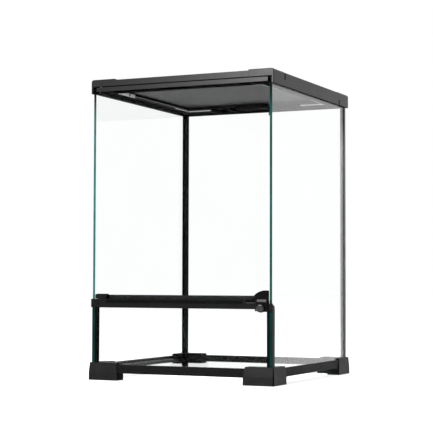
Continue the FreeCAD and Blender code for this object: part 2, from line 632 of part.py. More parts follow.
def braces():
    """Metal angles that tie the top frame together at its corners, on the shelf's edge, with their screws."""
    strips = []
    screws = []
    hole_radius = "brace_screw_radius + screw_play"
    for code, sign, end in CORNERS:
        name = f"shelf_brace_{code}"
        rim = RIMS[end]
        reach = "brace_end" if end == "front" else "brace_rear"
        span = (SHELF_LOW, f"{SHELF_LOW} + brace_height")
        side_leg = block(f"{name}_side", across(sign, BRACE_IN, BRACE_OUT),
                         inward(end, rim, f"{rim} + brace_leg"), span)
        end_leg = block(f"{name}_end", across(sign, f"{BRACE_OUT} - {reach}", BRACE_OUT),
                        inward(end, rim, f"{rim} + brace_skin"), span)
        holes = []
        for place in ("brace_screw_near", "brace_screw_far"):
            holes.append(brace_screw(f"{name}_{place}_hole", sign, end, place, f"{BRACE_IN} - {PAST}",
                                     f"{BRACE_OUT} + {PAST}", hole_radius))
            head = brace_screw(f"{name}_{place}_head", sign, end, place, f"{BRACE_IN} - brace_head_height",
                               BRACE_IN, "brace_head_radius")
            shank = brace_screw(f"{name}_{place}_shank", sign, end, place, BRACE_IN,
                                f"{BRACE_OUT} + brace_screw_grip", "brace_screw_radius")
            screws.append(joined(f"{name}_{place}", [head, shank]))
        if end == "rear":
            face = "rear_rim + brace_skin"
            holes.append(rear_screw(f"{name}_rear_hole", sign, f"rear_rim - {PAST}", f"{face} + {PAST}",
                                    hole_radius))
            head = rear_screw(f"{name}_rear_head", sign, face, f"{face} + brace_head_height",
                              "brace_head_radius")
            shank = rear_screw(f"{name}_rear_shank", sign, "rear_rim - brace_screw_grip", face,
                               "brace_screw_radius")
            screws.append(joined(f"{name}_rear_screw", [head, shank]))
        strips.append(without(f"{name}_strip", joined(f"{name}_angle", [side_leg, end_leg]), holes))
    for label, links in (("shelf_braces", strips), ("brace_screws", screws)):
        group = doc.addObject("Part::Compound", f"{label}_group")
        group.Links = links
        node(label, group)


def cap(code, sign, end):
    """Corner cap of the top frame, with its corner of the shelf under the lid."""
    label = f"top_corner_{code}"
    if end == "front":
        reach, depth = "cap_leg_front", "front_body"
    else:
        reach, depth = "cap_leg_rear", f"({REAR} - {BACK_BODY})"
    side_width = f"({HALF} - {BODY_IN})"
    plan = (("0", "0"), (reach, "0"), (reach, depth), (side_width, depth), (side_width, "cap_leg_side"),
            ("0", "cap_leg_side"))
    points = [(f"{sign} * ({HALF} - {a})", inward(end, b, b)[0]) for a, b in plan]
    body = along_z(f"{label}_body", points, (UNDER, "frame_height"))
    round_outer_edges(body, sign, end)

    shelf = (SHELF_LOW, SHELF_TOP)
    low = f"{UNDER} - {PAST}"
    inner = f"{HALF} - rim_width"
    tools = []
    if end == "front":
        front_edge = f"{HEAD_REAR} + shelf_notch" if sign < 0 else HEAD_STOP
        door_room = HEAD_REAR if sign < 0 else HEAD_STOP
        shelves = [block(f"{label}_front_shelf", across(sign, f"{HALF} - {reach}", BODY_IN),
                         (front_edge, f"{FRONT} + rim_width"), shelf),
                   block(f"{label}_side_shelf", across(sign, inner, BODY_IN),
                         inward(end, "rim_width", "cap_leg_side"), shelf)]
        if sign > 0:
            shelves.append(block(f"{label}_stop", (f"{HALF} - {reach}", BODY_IN),
                                 (HEAD_STOP, f"{HEAD_STOP} + stop_skin"),
                                 (f"{SHELF_LOW} - stop_drop", SHELF_LOW)))
        doorway = across(sign, f"{HALF} - {reach} - {PAST}", SLOT_OUT)
        tools.append(block(f"{label}_doorway", doorway, (f"{FRONT} - {PAST}", door_room), (low, BAND_LOW)))
        tools.append(block(f"{label}_under", doorway, (f"{FRONT} - {PAST}", HEAD_REAR), (low, SHELF_LOW)))
        slot_run = (f"{PANE_FRONT} - glass_fit", f"{FRONT} + cap_leg_side + {PAST}")
        if sign < 0:
            tools.append(rod(f"{label}_pin_hole", "z", (HINGE_X, HINGE_Y, f"{BAND_LOW} - {PAST}"),
                             "pin_radius + pin_play", f"pin_reach + {PAST}"))
    else:
        shelves = [block(f"{label}_side_shelf", across(sign, inner, BODY_IN),
                         inward(end, "rear_rim", "cap_leg_side"), shelf),
                   block(f"{label}_rear_shelf", across(sign, f"{HALF} - {reach}", BODY_IN),
                         inward(end, depth, "rear_rim"), shelf)]
        slot_run = (f"{REAR} - cap_leg_side - {PAST}", f"{SIDE_END} + glass_fit")
        tools.append(block(f"{label}_rear_slot",
                           across(sign, f"{HALF} - {reach} - {PAST}", f"{BACK_END} + glass_fit"),
                           (f"{BACK_IN} - glass_fit", f"{BACK_OUT} + glass_fit"),
                           (low, f"{BACK_TOP} + glass_fit")))
    tools.append(block(f"{label}_side_slot", across(sign, SLOT_IN, SLOT_OUT), slot_run,
                       (low, f"{PANE_TOP} + glass_fit")))
    head = without(f"{label}_head", body, tools)
    solid = joined(f"{label}_solid", [head] + shelves)
    if end == "front":
        solid = without(f"{label}_cut", solid, [brace_hole(label, sign, end, "brace_screw_near")])
    node(label, solid)


def turn_pivot(sign, end):
    """Where a lid latch turns, and the way along the rail that it points at rest."""
    x = f"{sign} * ({HALF} - turn_inset)"
    y = inward(end, "cap_leg_side + turn_place", "0")[0 if end == "front" else 1]
    return x, y, 1 if end == "front" else -1


TURN_TOP = f"({TOP} - turn_head)"
TURN_LOW = f"({TURN_TOP} - turn_play - turn_skin)"


def side_rail(side, sign):
    """Top side rail: channel for the pane, shelf for the lid and a recess for each lid latch."""
    label = f"top_rail_{side}"
    slot_top = f"{PANE_TOP} + glass_fit"
    inner = f"{HALF} - rim_width"
    body = along_y(f"{label}_body", mirrored(sign, [
        (HALF, UNDER), (HALF, TOP), (BODY_IN, TOP), (BODY_IN, SHELF_TOP), (inner, SHELF_TOP),
        (inner, SHELF_LOW), (BODY_IN, SHELF_LOW), (BODY_IN, UNDER), (SLOT_IN, UNDER), (SLOT_IN, slot_top),
        (SLOT_OUT, slot_top), (SLOT_OUT, UNDER)]),
        (f"{FRONT} + cap_leg_side", f"{REAR} - cap_leg_side"))
    tools = []
    for end in ("front", "rear"):
        x, y, way = turn_pivot(sign, end)
        heel = "turn_width / 2 + turn_play"
        tip = "sqrt(turn_length ^ 2 + turn_width ^ 2 / 4) + turn_play"
        run = (f"{y} - ({heel})", f"{y} + {tip}") if way > 0 else (f"{y} - ({tip})", f"{y} + {heel}")
        tools.append(block(f"{label}_{end}_recess",
                           across(sign, f"{BODY_IN} - {PAST}", f"{HALF} - turn_inset + {heel}"), run,
                           (f"{TURN_LOW} - turn_play", f"{TOP} + {PAST}")))
        tools.append(rod(f"{label}_{end}_pivot_hole", "z", (x, y, f"{TURN_LOW} - turn_play - turn_pin_depth"),
                         "turn_pin_radius + pin_play", "turn_pin_depth + turn_play"))
        tools.append(brace_hole(label, sign, end, "brace_screw_far"))
    tools.append(brace_hole(label, sign, "rear", "brace_screw_near"))
    node(label, without(f"{label}_cut", body, tools))


def lid_latches():
    """Four turn latches that swing over the lid, and the pivots that hold them to the rails."""
    pivots = []
    for code, sign, end in CORNERS:
        x, y, way = turn_pivot(sign, end)
        name = f"lid_latch_{code}"
        half = "turn_width / 2"
        run = (y, f"{y} + turn_length") if way > 0 else (f"{y} - turn_length", y)
        bar = block(f"{name}_bar", (f"{x} - {half}", f"{x} + {half}"), run,
                    (TURN_LOW, f"{TURN_LOW} + turn_skin"))
        heel = rod(f"{name}_heel", "z", (x, y, TURN_LOW), half, "turn_skin")
        hole = rod(f"{name}_hole", "z", (x, y, f"{TURN_LOW} - {PAST}"), "turn_pin_radius + pin_play",
                   f"turn_skin + 2 * {PAST}")
        node(name, without(f"{name}_cut", joined(f"{name}_plate", [bar, heel]), [hole]))
        pin_low = f"{TURN_LOW} - turn_play - turn_pin_depth"
        pin = rod(f"{name}_pin", "z", (x, y, pin_low), "turn_pin_radius", f"{TURN_TOP} - ({pin_low})")
        head = rod(f"{name}_head", "z", (x, y, TURN_TOP), "turn_head_radius", "turn_head")
        pivots.append(joined(f"{name}_pivot", [pin, head]))
    group = doc.addObject("Part::Compound", "lid_latch_pivots_group")
    group.Links = pivots
    node("lid_latch_pivots", group)


INLET_LOW = f"({UNDER} + inlet_rise)"
INLET_TOP = f"({INLET_LOW} + inlet_height)"
GATE_LENGTH = "(inlet_long + inlet_gap + inlet_short + 2 * gate_cover)"
INLET_FAR = f"({HALF} - inlet_place)"
GATE_FAR = f"({INLET_FAR} + gate_cover)"
GATE_BACK = f"({REAR} - gate_lip - gate_play)"


def rear_rail():
    """Top rear rail: channel for the pane, shelf, two cable inlets a side and the tracks of their gates."""
    label = "top_rail_rear"
    slot_top = f"{BACK_TOP} + glass_fit"
    near, far = f"{BACK_IN} - glass_fit", f"{BACK_OUT} + glass_fit"
    inner = f"{REAR} - rear_rim"
    body = along_x(f"{label}_body", [
        (REAR, UNDER), (REAR, TOP), (BACK_BODY, TOP), (BACK_BODY, SHELF_TOP), (inner, SHELF_TOP),
        (inner, SHELF_LOW), (BACK_BODY, SHELF_LOW), (BACK_BODY, UNDER), (near, UNDER), (near, slot_top),
        (far, slot_top), (far, UNDER)],
        (f"cap_leg_rear - {HALF}", f"{HALF} - cap_leg_rear"))
    wide = (f"{INLET_LOW} - gate_lap - gate_play", f"{INLET_TOP} + gate_lap + gate_play")
    track_front = f"{GATE_BACK} - gate_skin - gate_play"
    tools = []
    for side, sign in SIDES:
        long_end = f"{INLET_FAR} - inlet_long"
        short_start = f"{long_end} - inlet_gap"
        for kind, run in (("long", (long_end, INLET_FAR)),
                          ("short", (f"{short_start} - inlet_short", short_start))):
            name = f"{label}_{side}_{kind}"
            span = across(sign, *run)
            tools.append(block(f"{name}_way", span, (f"{inner} - {PAST}", f"{REAR} + {PAST}"),
                               (INLET_LOW, INLET_TOP)))
            tools.append(block(f"{name}_notch", span, (f"{inner} - {PAST}", BACK_BODY),
                               (f"{SHELF_LOW} - {PAST}", INLET_TOP)))
        tools.append(rear_screw(f"{label}_{side}_brace_hole", sign,
                                "rear_rim - brace_screw_grip - screw_play", f"rear_rim + {PAST}",
                                "brace_screw_radius + screw_play"))
        track = across(sign, f"{GATE_FAR} - {GATE_LENGTH} - gate_play",
                       f"{GATE_FAR} + {GATE_LENGTH} + gate_play")
        tools.append(block(f"{label}_{side}_track", track, (track_front, f"{REAR} - gate_lip"), wide))
        tools.append(block(f"{label}_{side}_mouth", track, (f"{REAR} - gate_lip", f"{REAR} + {PAST}"),
                           (INLET_LOW, INLET_TOP)))
    node(label, without(f"{label}_cut", body, tools))


def cable_gates():
    """Sliding gates that close the cable inlets and open outward."""
    for side, sign in SIDES:
        name = f"cable_gate_{side}"
        run = across(sign, f"{GATE_FAR} - {GATE_LENGTH}", GATE_FAR)
        plate = block(f"{name}_plate", run, (f"{GATE_BACK} - gate_skin", GATE_BACK),
                      (f"{INLET_LOW} - gate_lap", f"{INLET_TOP} + gate_lap"))
        middle = f"{GATE_FAR} - {GATE_LENGTH} / 2"
        grip = block(f"{name}_grip", across(sign, f"{middle} - gate_grip / 2", f"{middle} + gate_grip / 2"),
                     (GATE_BACK, REAR), (f"{INLET_LOW} + gate_play", f"{INLET_TOP} - gate_play"))
        node(name, joined(f"{name}_solid", [plate, grip]))


def front_rail():
    """Top front rail: band over the door, shelf and the upper door stop."""
    inner = f"{FRONT} + rim_width"
    stop_rear = f"{HEAD_STOP} + stop_skin"
    stop_low = f"{SHELF_LOW} - stop_drop"
    node("top_rail_front", along_x("top_rail_front_body", [
        (FRONT, BAND_LOW), (FRONT, TOP), (HEAD_REAR, TOP), (HEAD_REAR, SHELF_TOP), (inner, SHELF_TOP),
        (inner, SHELF_LOW), (stop_rear, SHELF_LOW), (stop_rear, stop_low), (HEAD_STOP, stop_low),
        (HEAD_STOP, BAND_LOW)],
        (f"cap_leg_front - {HALF}", f"{HALF} - cap_leg_front")))


LOUVRE_LOW = "(bar_low + louvre_rise)"
LOUVRE_TOP = f"({LOUVRE_LOW} + louvre_height)"
LOUVRE_START = f"(louvre_start - {HALF})"
CAM_HALF = "(cam_length / 2 + cam_room)"
CAM_SWEEP = "(sqrt(cam_length ^ 2 + cam_width ^ 2) / 2 + cam_room)"


def vent_bar():
    """Bar across the front: channel for the low pane, vent window and outlet, and the door stop."""
    near, far = f"{LOW_FRONT} - glass_fit", f"{LOW_REAR} + glass_fit"
    slot_top = f"{LOW_TOP} + glass_fit"
    back = f"{FRONT} + bar_depth"
    stop_back = f"{STOP_FRONT} + bar_stop_depth"
    stop_top = f"{BAR_TOP} + bar_stop_height"
    body = along_x("vent_bar_body", [
        (PLATE_REAR, "bar_low"), (PLATE_REAR, BAR_TOP), (STOP_FRONT, BAR_TOP), (STOP_FRONT, stop_top),
        (stop_back, stop_top), (stop_back, BAR_TOP), (back, BAR_TOP), (back, "bar_low"), (far, "bar_low"),
        (far, slot_top), (near, slot_top), (near, "bar_low")], (f"-{SLOT_IN}", SLOT_IN))
    swing = f"sqrt(({PANE_IN} - door_side_gap + {HINGE_X}) ^ 2 + ({DOOR_REAR} - {HINGE_Y}) ^ 2)"
    hinge_room = block("vent_bar_hinge_room",
                       (f"-{SLOT_IN} - {PAST}", f"{HINGE_X} + clamp_right + clamp_room"),
                       (f"{STOP_FRONT} - {PAST}", f"{HINGE_Y} + {swing} + hinge_clear"),
                       (BAR_TOP, f"{stop_top} + {PAST}"))
    right_end = block("vent_bar_right_end", (f"{SLOT_IN} - bar_end_cut", f"{SLOT_IN} + {PAST}"),
                      (f"{PLATE_REAR} - {PAST}", f"{back} + {PAST}"),
                      (f"{slot_top} + bar_end_rise", f"{stop_top} + {PAST}"))
    window_x = (f"{LOUVRE_START} - window_margin", f"{LOUVRE_START} + louvre_length + window_margin")
    window = block("vent_bar_window", window_x, (f"{PLATE_REAR} - {PAST}", f"{back} - window_wall"),
                   (f"{LOUVRE_LOW} - window_margin", f"{LOUVRE_TOP} + window_margin"))
    outlet_top = f"{LOUVRE_LOW} - window_margin / 2"
    outlet = block("vent_bar_outlet", window_x, (f"{FRONT} + outlet_set", f"{back} + {PAST}"),
                   (f"{outlet_top} - outlet_height", outlet_top))
    pin_block = block("vent_bar_pin_block", (f"-{SLOT_IN} - {PAST}", f"end_length - {HALF}"),
                      (f"{PLATE_REAR} - {PAST}", f"{FRONT} + end_block_depth"),
                      (f"{BAR_TOP} - end_block", f"{BAR_TOP} + {PAST}"))
    pocket = block("vent_bar_cam_pocket", (f"{KNOB_X} - {CAM_SWEEP}", f"{KNOB_X} + {CAM_SWEEP}"),
                   (f"{PLATE_REAR} - {PAST}", near), (f"bar_low - {PAST}", f"knob_height + {CAM_SWEEP}"))
    cuts = [hinge_room, right_end, window, outlet, pin_block, pocket]
    node("vent_bar", without("vent_bar_cut", body, cuts))


def vent_grille():
    """Front plate of the bar with a row of slanted louvres."""
    body = along_y("vent_grille_body", [
        (f"end_length - {HALF}", "bar_low"), (f"{HALF} - grille_end", "bar_low"),
        (f"{HALF} - grille_end", BAR_TOP), (f"end_length - {HALF}", BAR_TOP)], (FRONT, PLATE_REAR))
    slot = outline(body, "louvre_outline", "XZ_Plane", f"-{FRONT} + {PAST}", [
        (LOUVRE_START, LOUVRE_LOW), (f"{LOUVRE_START} + louvre_width", LOUVRE_LOW),
        (f"{LOUVRE_START} + louvre_width + louvre_slant", LOUVRE_TOP),
        (f"{LOUVRE_START} + louvre_slant", LOUVRE_TOP)])
    louvre = body.newObject("PartDesign::Pocket", "louvre")
    louvre.Profile = slot
    bind(louvre, "Length", f"bar_plate + 2 * {PAST}")
    doc.recompute()
    row_axis = next(item for item in body.Origin.OriginFeatures if item.Role == "X_Axis")
    count = "floor((louvre_length - louvre_slant - louvre_width) / louvre_pitch)"
    pattern = body.newObject("PartDesign::LinearPattern", "louvre_row")
    pattern.Originals = [louvre]
    pattern.Direction = (row_axis, [""])
    bind(pattern, "Length", f"{count} * louvre_pitch")
    bind(pattern, "Occurrences", f"{count} + 1")
    body.Tip = pattern
    node("vent_grille", body)


def bar_ends():
    """Left end cap, which holds the lower hinge pin, and the lock plate on the right."""
    outer = f"({SLOT_OUT} + end_skin)"
    low = "bar_low + end_rise"
    inner = f"end_length - {HALF}"
    plate = block("end_plate", (f"-{outer}", inner), (FRONT, PLATE_REAR), (low, BAR_TOP))
    holder = block("end_holder", (f"-{SLOT_IN}", inner), (PLATE_REAR, f"{FRONT} + end_block_depth"),
                   (f"{BAR_TOP} - end_block", BAR_TOP))
    hole = rod("end_pin_hole", "z", (HINGE_X, HINGE_Y, f"{BAR_TOP} - pin_reach - door_gap"),
               "pin_radius + pin_play", f"pin_reach + door_gap + {PAST}")
    cap_solid = joined("vent_end_cap_solid", [plate, holder])
    node("vent_end_cap", without("vent_end_cap_cut", cap_solid, [hole]))

    drop = "bar_low - lock_drop"
    step = f"{HALF} - lock_start"
    plain = block("lock_plain", (f"{HALF} - grille_end", step), (FRONT, PLATE_REAR),
                  ("bar_low", f"{BAR_TOP} - lock_step"))
    tall = block("lock_tall", (step, SLOT_IN), (FRONT, PLATE_REAR), (drop, BAR_TOP))
    side = block("lock_side", (SLOT_IN, outer), (FRONT, PLATE_REAR), (drop, f"{BAR_TOP} - lock_shoulder"))
    slot = block("lock_slot", (f"{KNOB_X} - {CAM_HALF}", f"{KNOB_X} + {CAM_HALF}"),
                 (f"{FRONT} - {PAST}", f"{PLATE_REAR} + {PAST}"),
                 ("knob_height - cam_width / 2 - cam_room", "knob_height + cam_width / 2 + cam_room"))
    node("lock_plate", without("lock_plate_cut", joined("lock_plate_solid", [plain, tall, side]), [slot]))


def door():
    """Door pane with its top rail, hinge clamp, pins and latch bracket."""
    edge = f"({PANE_IN} - door_side_gap)"
    node("door_pane", block("door_pane_glass", (f"-{edge}", edge), (DOOR_FRONT, DOOR_REAR),
                            (DOOR_LOW, DOOR_TOP)))

    left = f"{HINGE_X} - clamp_left"
    clamp_y = (f"{FRONT} + clamp_set", f"{DOOR_REAR} + clamp_back")
    foot_z, head_z = f"({BAR_TOP} + door_gap)", f"({BAND_LOW} - door_head_gap)"
    clamp_z = (foot_z, f"{foot_z} + clamp_height")
    rail_z = (f"{head_z} - door_rail_height", head_z)
    swing_room = block("door_rail_swing_room", (f"-{edge} - {PAST}", left),
                       (DOOR_FRONT, f"{clamp_y[1]} + {PAST}"),
                       (f"{rail_z[0]} - {PAST}", f"{head_z} + {PAST}"))
    for label, end, width, span, glass_span, hole_low, pin_low, gap, room in (
            ("hinge_clamp", "bottom", (left, f"{HINGE_X} + clamp_right"), clamp_z,
             (DOOR_LOW, f"{clamp_z[1]} + {PAST}"), f"{foot_z} - {PAST}", f"{BAR_TOP} - pin_reach",
             "door_gap", []),
            ("door_top_rail", "top", (f"-{edge}", edge), rail_z,
             (f"{rail_z[0]} - {PAST}", DOOR_TOP), f"{head_z} - pin_grip", f"{head_z} - pin_grip",
             "door_head_gap", [swing_room])):
        solid = block(f"{label}_solid", width, clamp_y, span)
        channel = block(f"{label}_channel", (f"{width[0]} - {PAST}", f"{width[1]} + {PAST}"),
                        (DOOR_FRONT, DOOR_REAR), glass_span)
        hole = rod(f"{label}_hole", "z", (HINGE_X, HINGE_Y, hole_low), "pin_radius + pin_play",
                   f"pin_grip + {PAST}")
        node(label, without(f"{label}_cut", solid, [channel, hole] + room))
        node(f"hinge_pin_{end}", rod(f"hinge_pin_{end}_rod", "z", (HINGE_X, HINGE_Y, pin_low), "pin_radius",
                                     f"pin_reach + {gap} + pin_grip"))

    right = f"({HALF} - bracket_side)"
    centre = f"({HALF} - bracket_inset)"
    disc = rod("latch_disc", "y", (centre, TONGUE_FRONT, "knob_height"), "bracket_radius",
               f"{DOOR_FRONT} - {TONGUE_FRONT}")
    above = block("latch_above", (f"{centre} - bracket_radius - {PAST}", right), (TONGUE_FRONT, DOOR_FRONT),
                  (foot_z, f"knob_height + bracket_radius + {PAST}"))
    tongue_y = (TONGUE_FRONT, TONGUE_REAR)
    upper = block("latch_tongue_upper", (f"{KNOB_X} - tongue_radius", right), tongue_y,
                  ("knob_height", f"{foot_z} + {PAST}"))
    lower = block("latch_tongue_lower", (KNOB_X, right), tongue_y,
                  (f"{foot_z} - tongue_drop", f"{foot_z} + {PAST}"))
    curve = rod("latch_tongue_curve", "y", (KNOB_X, TONGUE_FRONT, "knob_height"), "tongue_radius",
                "latch_plate")
    rib = rod("latch_rib", "x", (f"{right} - rib_inset - rib_length", TONGUE_FRONT, f"{foot_z} - rib_drop"),
              "latch_plate", "rib_length")
    hole = rod("latch_shaft_hole", "y", (KNOB_X, f"{TONGUE_FRONT} - {PAST}", "knob_height"),
               "shaft_radius + shaft_play", f"latch_plate + 2 * {PAST}")
    bracket = joined("latch_bracket_solid", [shared("latch_dome", disc, above), upper, lower, curve, rib])
    node("latch_bracket", without("latch_bracket_cut", bracket, [hole]))


def latch():
    """Knob with its shaft, and the cam behind the lock plate, lying level so that the door is free."""
    body = doc.addObject("PartDesign::Body", "latch_knob_body")
    body.Placement.Rotation = AXES["y"]
    bind(body, "Placement.Base.x", KNOB_X)
    bind(body, "Placement.Base.y", f"{TONGUE_FRONT} - knob_gap - knob_length")
    bind(body, "Placement.Base.z", "knob_height")
    cam_front = f"({PLATE_REAR} + cam_gap)"
    shaft_end = f"({cam_front} + cam_skin)"
    for name, radius, length in (("knob_head", "knob_radius", "knob_length"),
                                 ("knob_shaft", "shaft_radius",
                                  f"{shaft_end} - {TONGUE_FRONT} + knob_gap + knob_length")):
        drawing = body.newObject("Sketcher::SketchObject", f"{name}_circle")
        plane = next(item for item in body.Origin.OriginFeatures if item.Role == "XY_Plane")
        drawing.AttachmentSupport = (plane, [""])
        drawing.MapMode = "FlatFace"
        drawing.addGeometry(Part.Circle(FreeCAD.Vector(), FreeCAD.Vector(0, 0, 1), 1.0))
        drawing.addConstraint(Sketcher.Constraint("Coincident", 0, 3, -1, 1))
        size = drawing.addConstraint(Sketcher.Constraint("Radius", 0, 1.0))
        bind(drawing, f"Constraints[{size}]", radius)
        pad = body.newObject("PartDesign::Pad", name)
        pad.Profile = drawing
        bind(pad, "Length", length)
    doc.recompute()
    front_edges = [f"Edge{index}" for index, edge in enumerate(pad.Shape.Edges, 1)
                   if abs(edge.CenterOfMass.z) < NEAR]
    rounding = body.newObject("PartDesign::Fillet", "knob_rounding")
    rounding.Base = (pad, front_edges)
    bind(rounding, "Radius", "knob_round")
    node("latch_knob", body)

    half = "cam_length / 2"
    bar = block("latch_cam_bar", (f"{KNOB_X} - {half}", f"{KNOB_X} + {half}"), (cam_front, shaft_end),
                ("knob_height - cam_width / 2", "knob_height + cam_width / 2"))
    hole = rod("latch_cam_hole", "y", (KNOB_X, f"{cam_front} - {PAST}", "knob_height"),
               "shaft_radius + shaft_play", f"cam_skin + 2 * {PAST}")
    node("latch_cam", without("latch_cam_cut", bar, [hole]))


def lid():
    """Four grooved bars round a mesh, resting on the shelf."""
    span = (SHELF_TOP, LID_TOP)
    inner = f"({LID_OUT} - lid_bar)"
    full = (LID_FRONT, LID_REAR)
    between = (f"-{inner}", inner)
    mesh_x = f"({inner} + mesh_grip)"
    mesh_y = (f"{LID_FRONT} + lid_bar - mesh_grip", f"{LID_REAR} - lid_bar + mesh_grip")
    groove_z = (f"{MESH_LOW} - mesh_play", f"{MESH_LOW} + mesh_skin + mesh_play")
    bars = {
        "left": block("lid_bar_left_solid", across(-1, inner, LID_OUT), full, span),
        "right": block("lid_bar_right_solid", across(1, inner, LID_OUT), full, span),
        "front": block("lid_bar_front_solid", between, (LID_FRONT, f"{LID_FRONT} + lid_bar"), span),
        "rear": block("lid_bar_rear_solid", between, (f"{LID_REAR} - lid_bar", LID_REAR), span),
    }
    for side, bar in bars.items():
        groove = block(f"lid_bar_{side}_groove", (f"-{mesh_x} - mesh_play", f"{mesh_x} + mesh_play"),
                       (f"{mesh_y[0]} - mesh_play", f"{mesh_y[1]} + mesh_play"), groove_z)
        node(f"lid_bar_{side}", without(f"lid_bar_{side}_cut", bar, [groove]))
    doc.recompute()

    grip = sheet.mesh_grip
    west = bars["left"].Placement.Base.x + bars["left"].Length.Value
    east = bars["right"].Placement.Base.x
    south = bars["front"].Placement.Base.y + bars["front"].Width.Value
    north = bars["rear"].Placement.Base.y
    count = int(sheet.mesh_count)
    height = bars["left"].Placement.Base.z + sheet.mesh_rise
    step_x = (east - west) / count
    step_y = (north - south) / count
    web = sheet.mesh_wire / 2

    def frame(x0, y0, x1, y1):
        points = [FreeCAD.Vector(x, y, height) for x, y in ((x0, y0), (x1, y0), (x1, y1), (x0, y1))]
        return Part.makePolygon(points + points[:1])

    wires = [frame(west - grip, south - grip, east + grip, north + grip)]
    for column in range(count):
        for row in range(count):
            x0 = west + column * step_x
            y0 = south + row * step_y
            wires.append(frame(x0 + web, y0 + web, x0 + step_x - web, y0 + step_y - web))
    mesh = doc.addObject("Part::Feature", "lid_mesh_net")
    net = Part.makeFace(wires, "Part::FaceMakerBullseye")
    mesh.Shape = net.extrude(FreeCAD.Vector(0, 0, sheet.mesh_skin))
    mesh.Placement = FreeCAD.Placement()
    node("lid_mesh", mesh)


for corner_code, corner_sign, corner_end in CORNERS:
    foot(corner_code, corner_sign, corner_end)
    cap(corner_code, corner_sign, corner_end)
base_rails()
base_screws()
panes()
for side_name, side_sign in SIDES:
    posts(side_name, side_sign)
    side_rail(side_name, side_sign)
braces()
rear_rail()
front_rail()
cable_gates()
vent_bar()
vent_grille()
bar_ends()
door()
latch()
lid()
lid_latches()

doc.recompute()
failed = [item.Label for item in doc.Objects if "Invalid" in item.State or "Error" in item.State]
failed += [item.Label for item in nodes if item.Shape.isNull() or not item.Shape.isValid()]
if failed:
    raise RuntimeError("not built: " + ", ".join(failed))

os.makedirs("parts", exist_ok=True)
for item in nodes:
    item.Shape.exportStep(f"parts/{item.Label}.step")
    print(f"{item.Label}: {len(item.Shape.Solids)} solids, {item.Shape.Volume:.1f} mm3")
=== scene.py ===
import math

import bpy
from mathutils import Matrix, Vector


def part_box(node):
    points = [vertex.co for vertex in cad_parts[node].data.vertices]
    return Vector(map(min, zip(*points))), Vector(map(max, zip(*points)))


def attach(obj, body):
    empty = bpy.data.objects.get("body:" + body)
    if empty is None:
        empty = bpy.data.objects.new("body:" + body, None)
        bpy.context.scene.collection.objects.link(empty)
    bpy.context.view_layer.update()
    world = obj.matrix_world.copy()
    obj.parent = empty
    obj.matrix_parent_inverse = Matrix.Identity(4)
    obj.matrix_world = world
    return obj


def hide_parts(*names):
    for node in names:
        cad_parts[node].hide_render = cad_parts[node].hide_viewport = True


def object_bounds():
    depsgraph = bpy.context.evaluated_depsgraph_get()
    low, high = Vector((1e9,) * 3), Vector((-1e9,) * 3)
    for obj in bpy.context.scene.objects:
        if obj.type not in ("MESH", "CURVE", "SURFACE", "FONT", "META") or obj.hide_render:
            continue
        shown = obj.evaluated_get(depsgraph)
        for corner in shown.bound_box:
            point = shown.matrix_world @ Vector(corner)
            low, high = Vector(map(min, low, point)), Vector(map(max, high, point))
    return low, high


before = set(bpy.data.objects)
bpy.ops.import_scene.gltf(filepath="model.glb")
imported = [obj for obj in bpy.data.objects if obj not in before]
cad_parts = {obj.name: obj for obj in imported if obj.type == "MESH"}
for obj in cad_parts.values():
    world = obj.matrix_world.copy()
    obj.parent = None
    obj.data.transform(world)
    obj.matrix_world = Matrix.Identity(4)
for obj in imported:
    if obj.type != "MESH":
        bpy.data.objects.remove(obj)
cad_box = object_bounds()
MM = 0.001
X, Y, Z = range(3)
CAD_RIGHT, CAD_REAR, CAD_TOP = cad_box[1]
RAIL_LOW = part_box("top_rail_left")[0][Z]
GRILLE_LOW, GRILLE_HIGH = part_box("vent_grille")
FRONT_Y = GRILLE_LOW[Y]

NOISE_RANGE = (0.3, 0.7)  # where most values of a noise texture lie
SQUARE_ON = 0.7  # least share of a normal along an axis for a face that is square to it


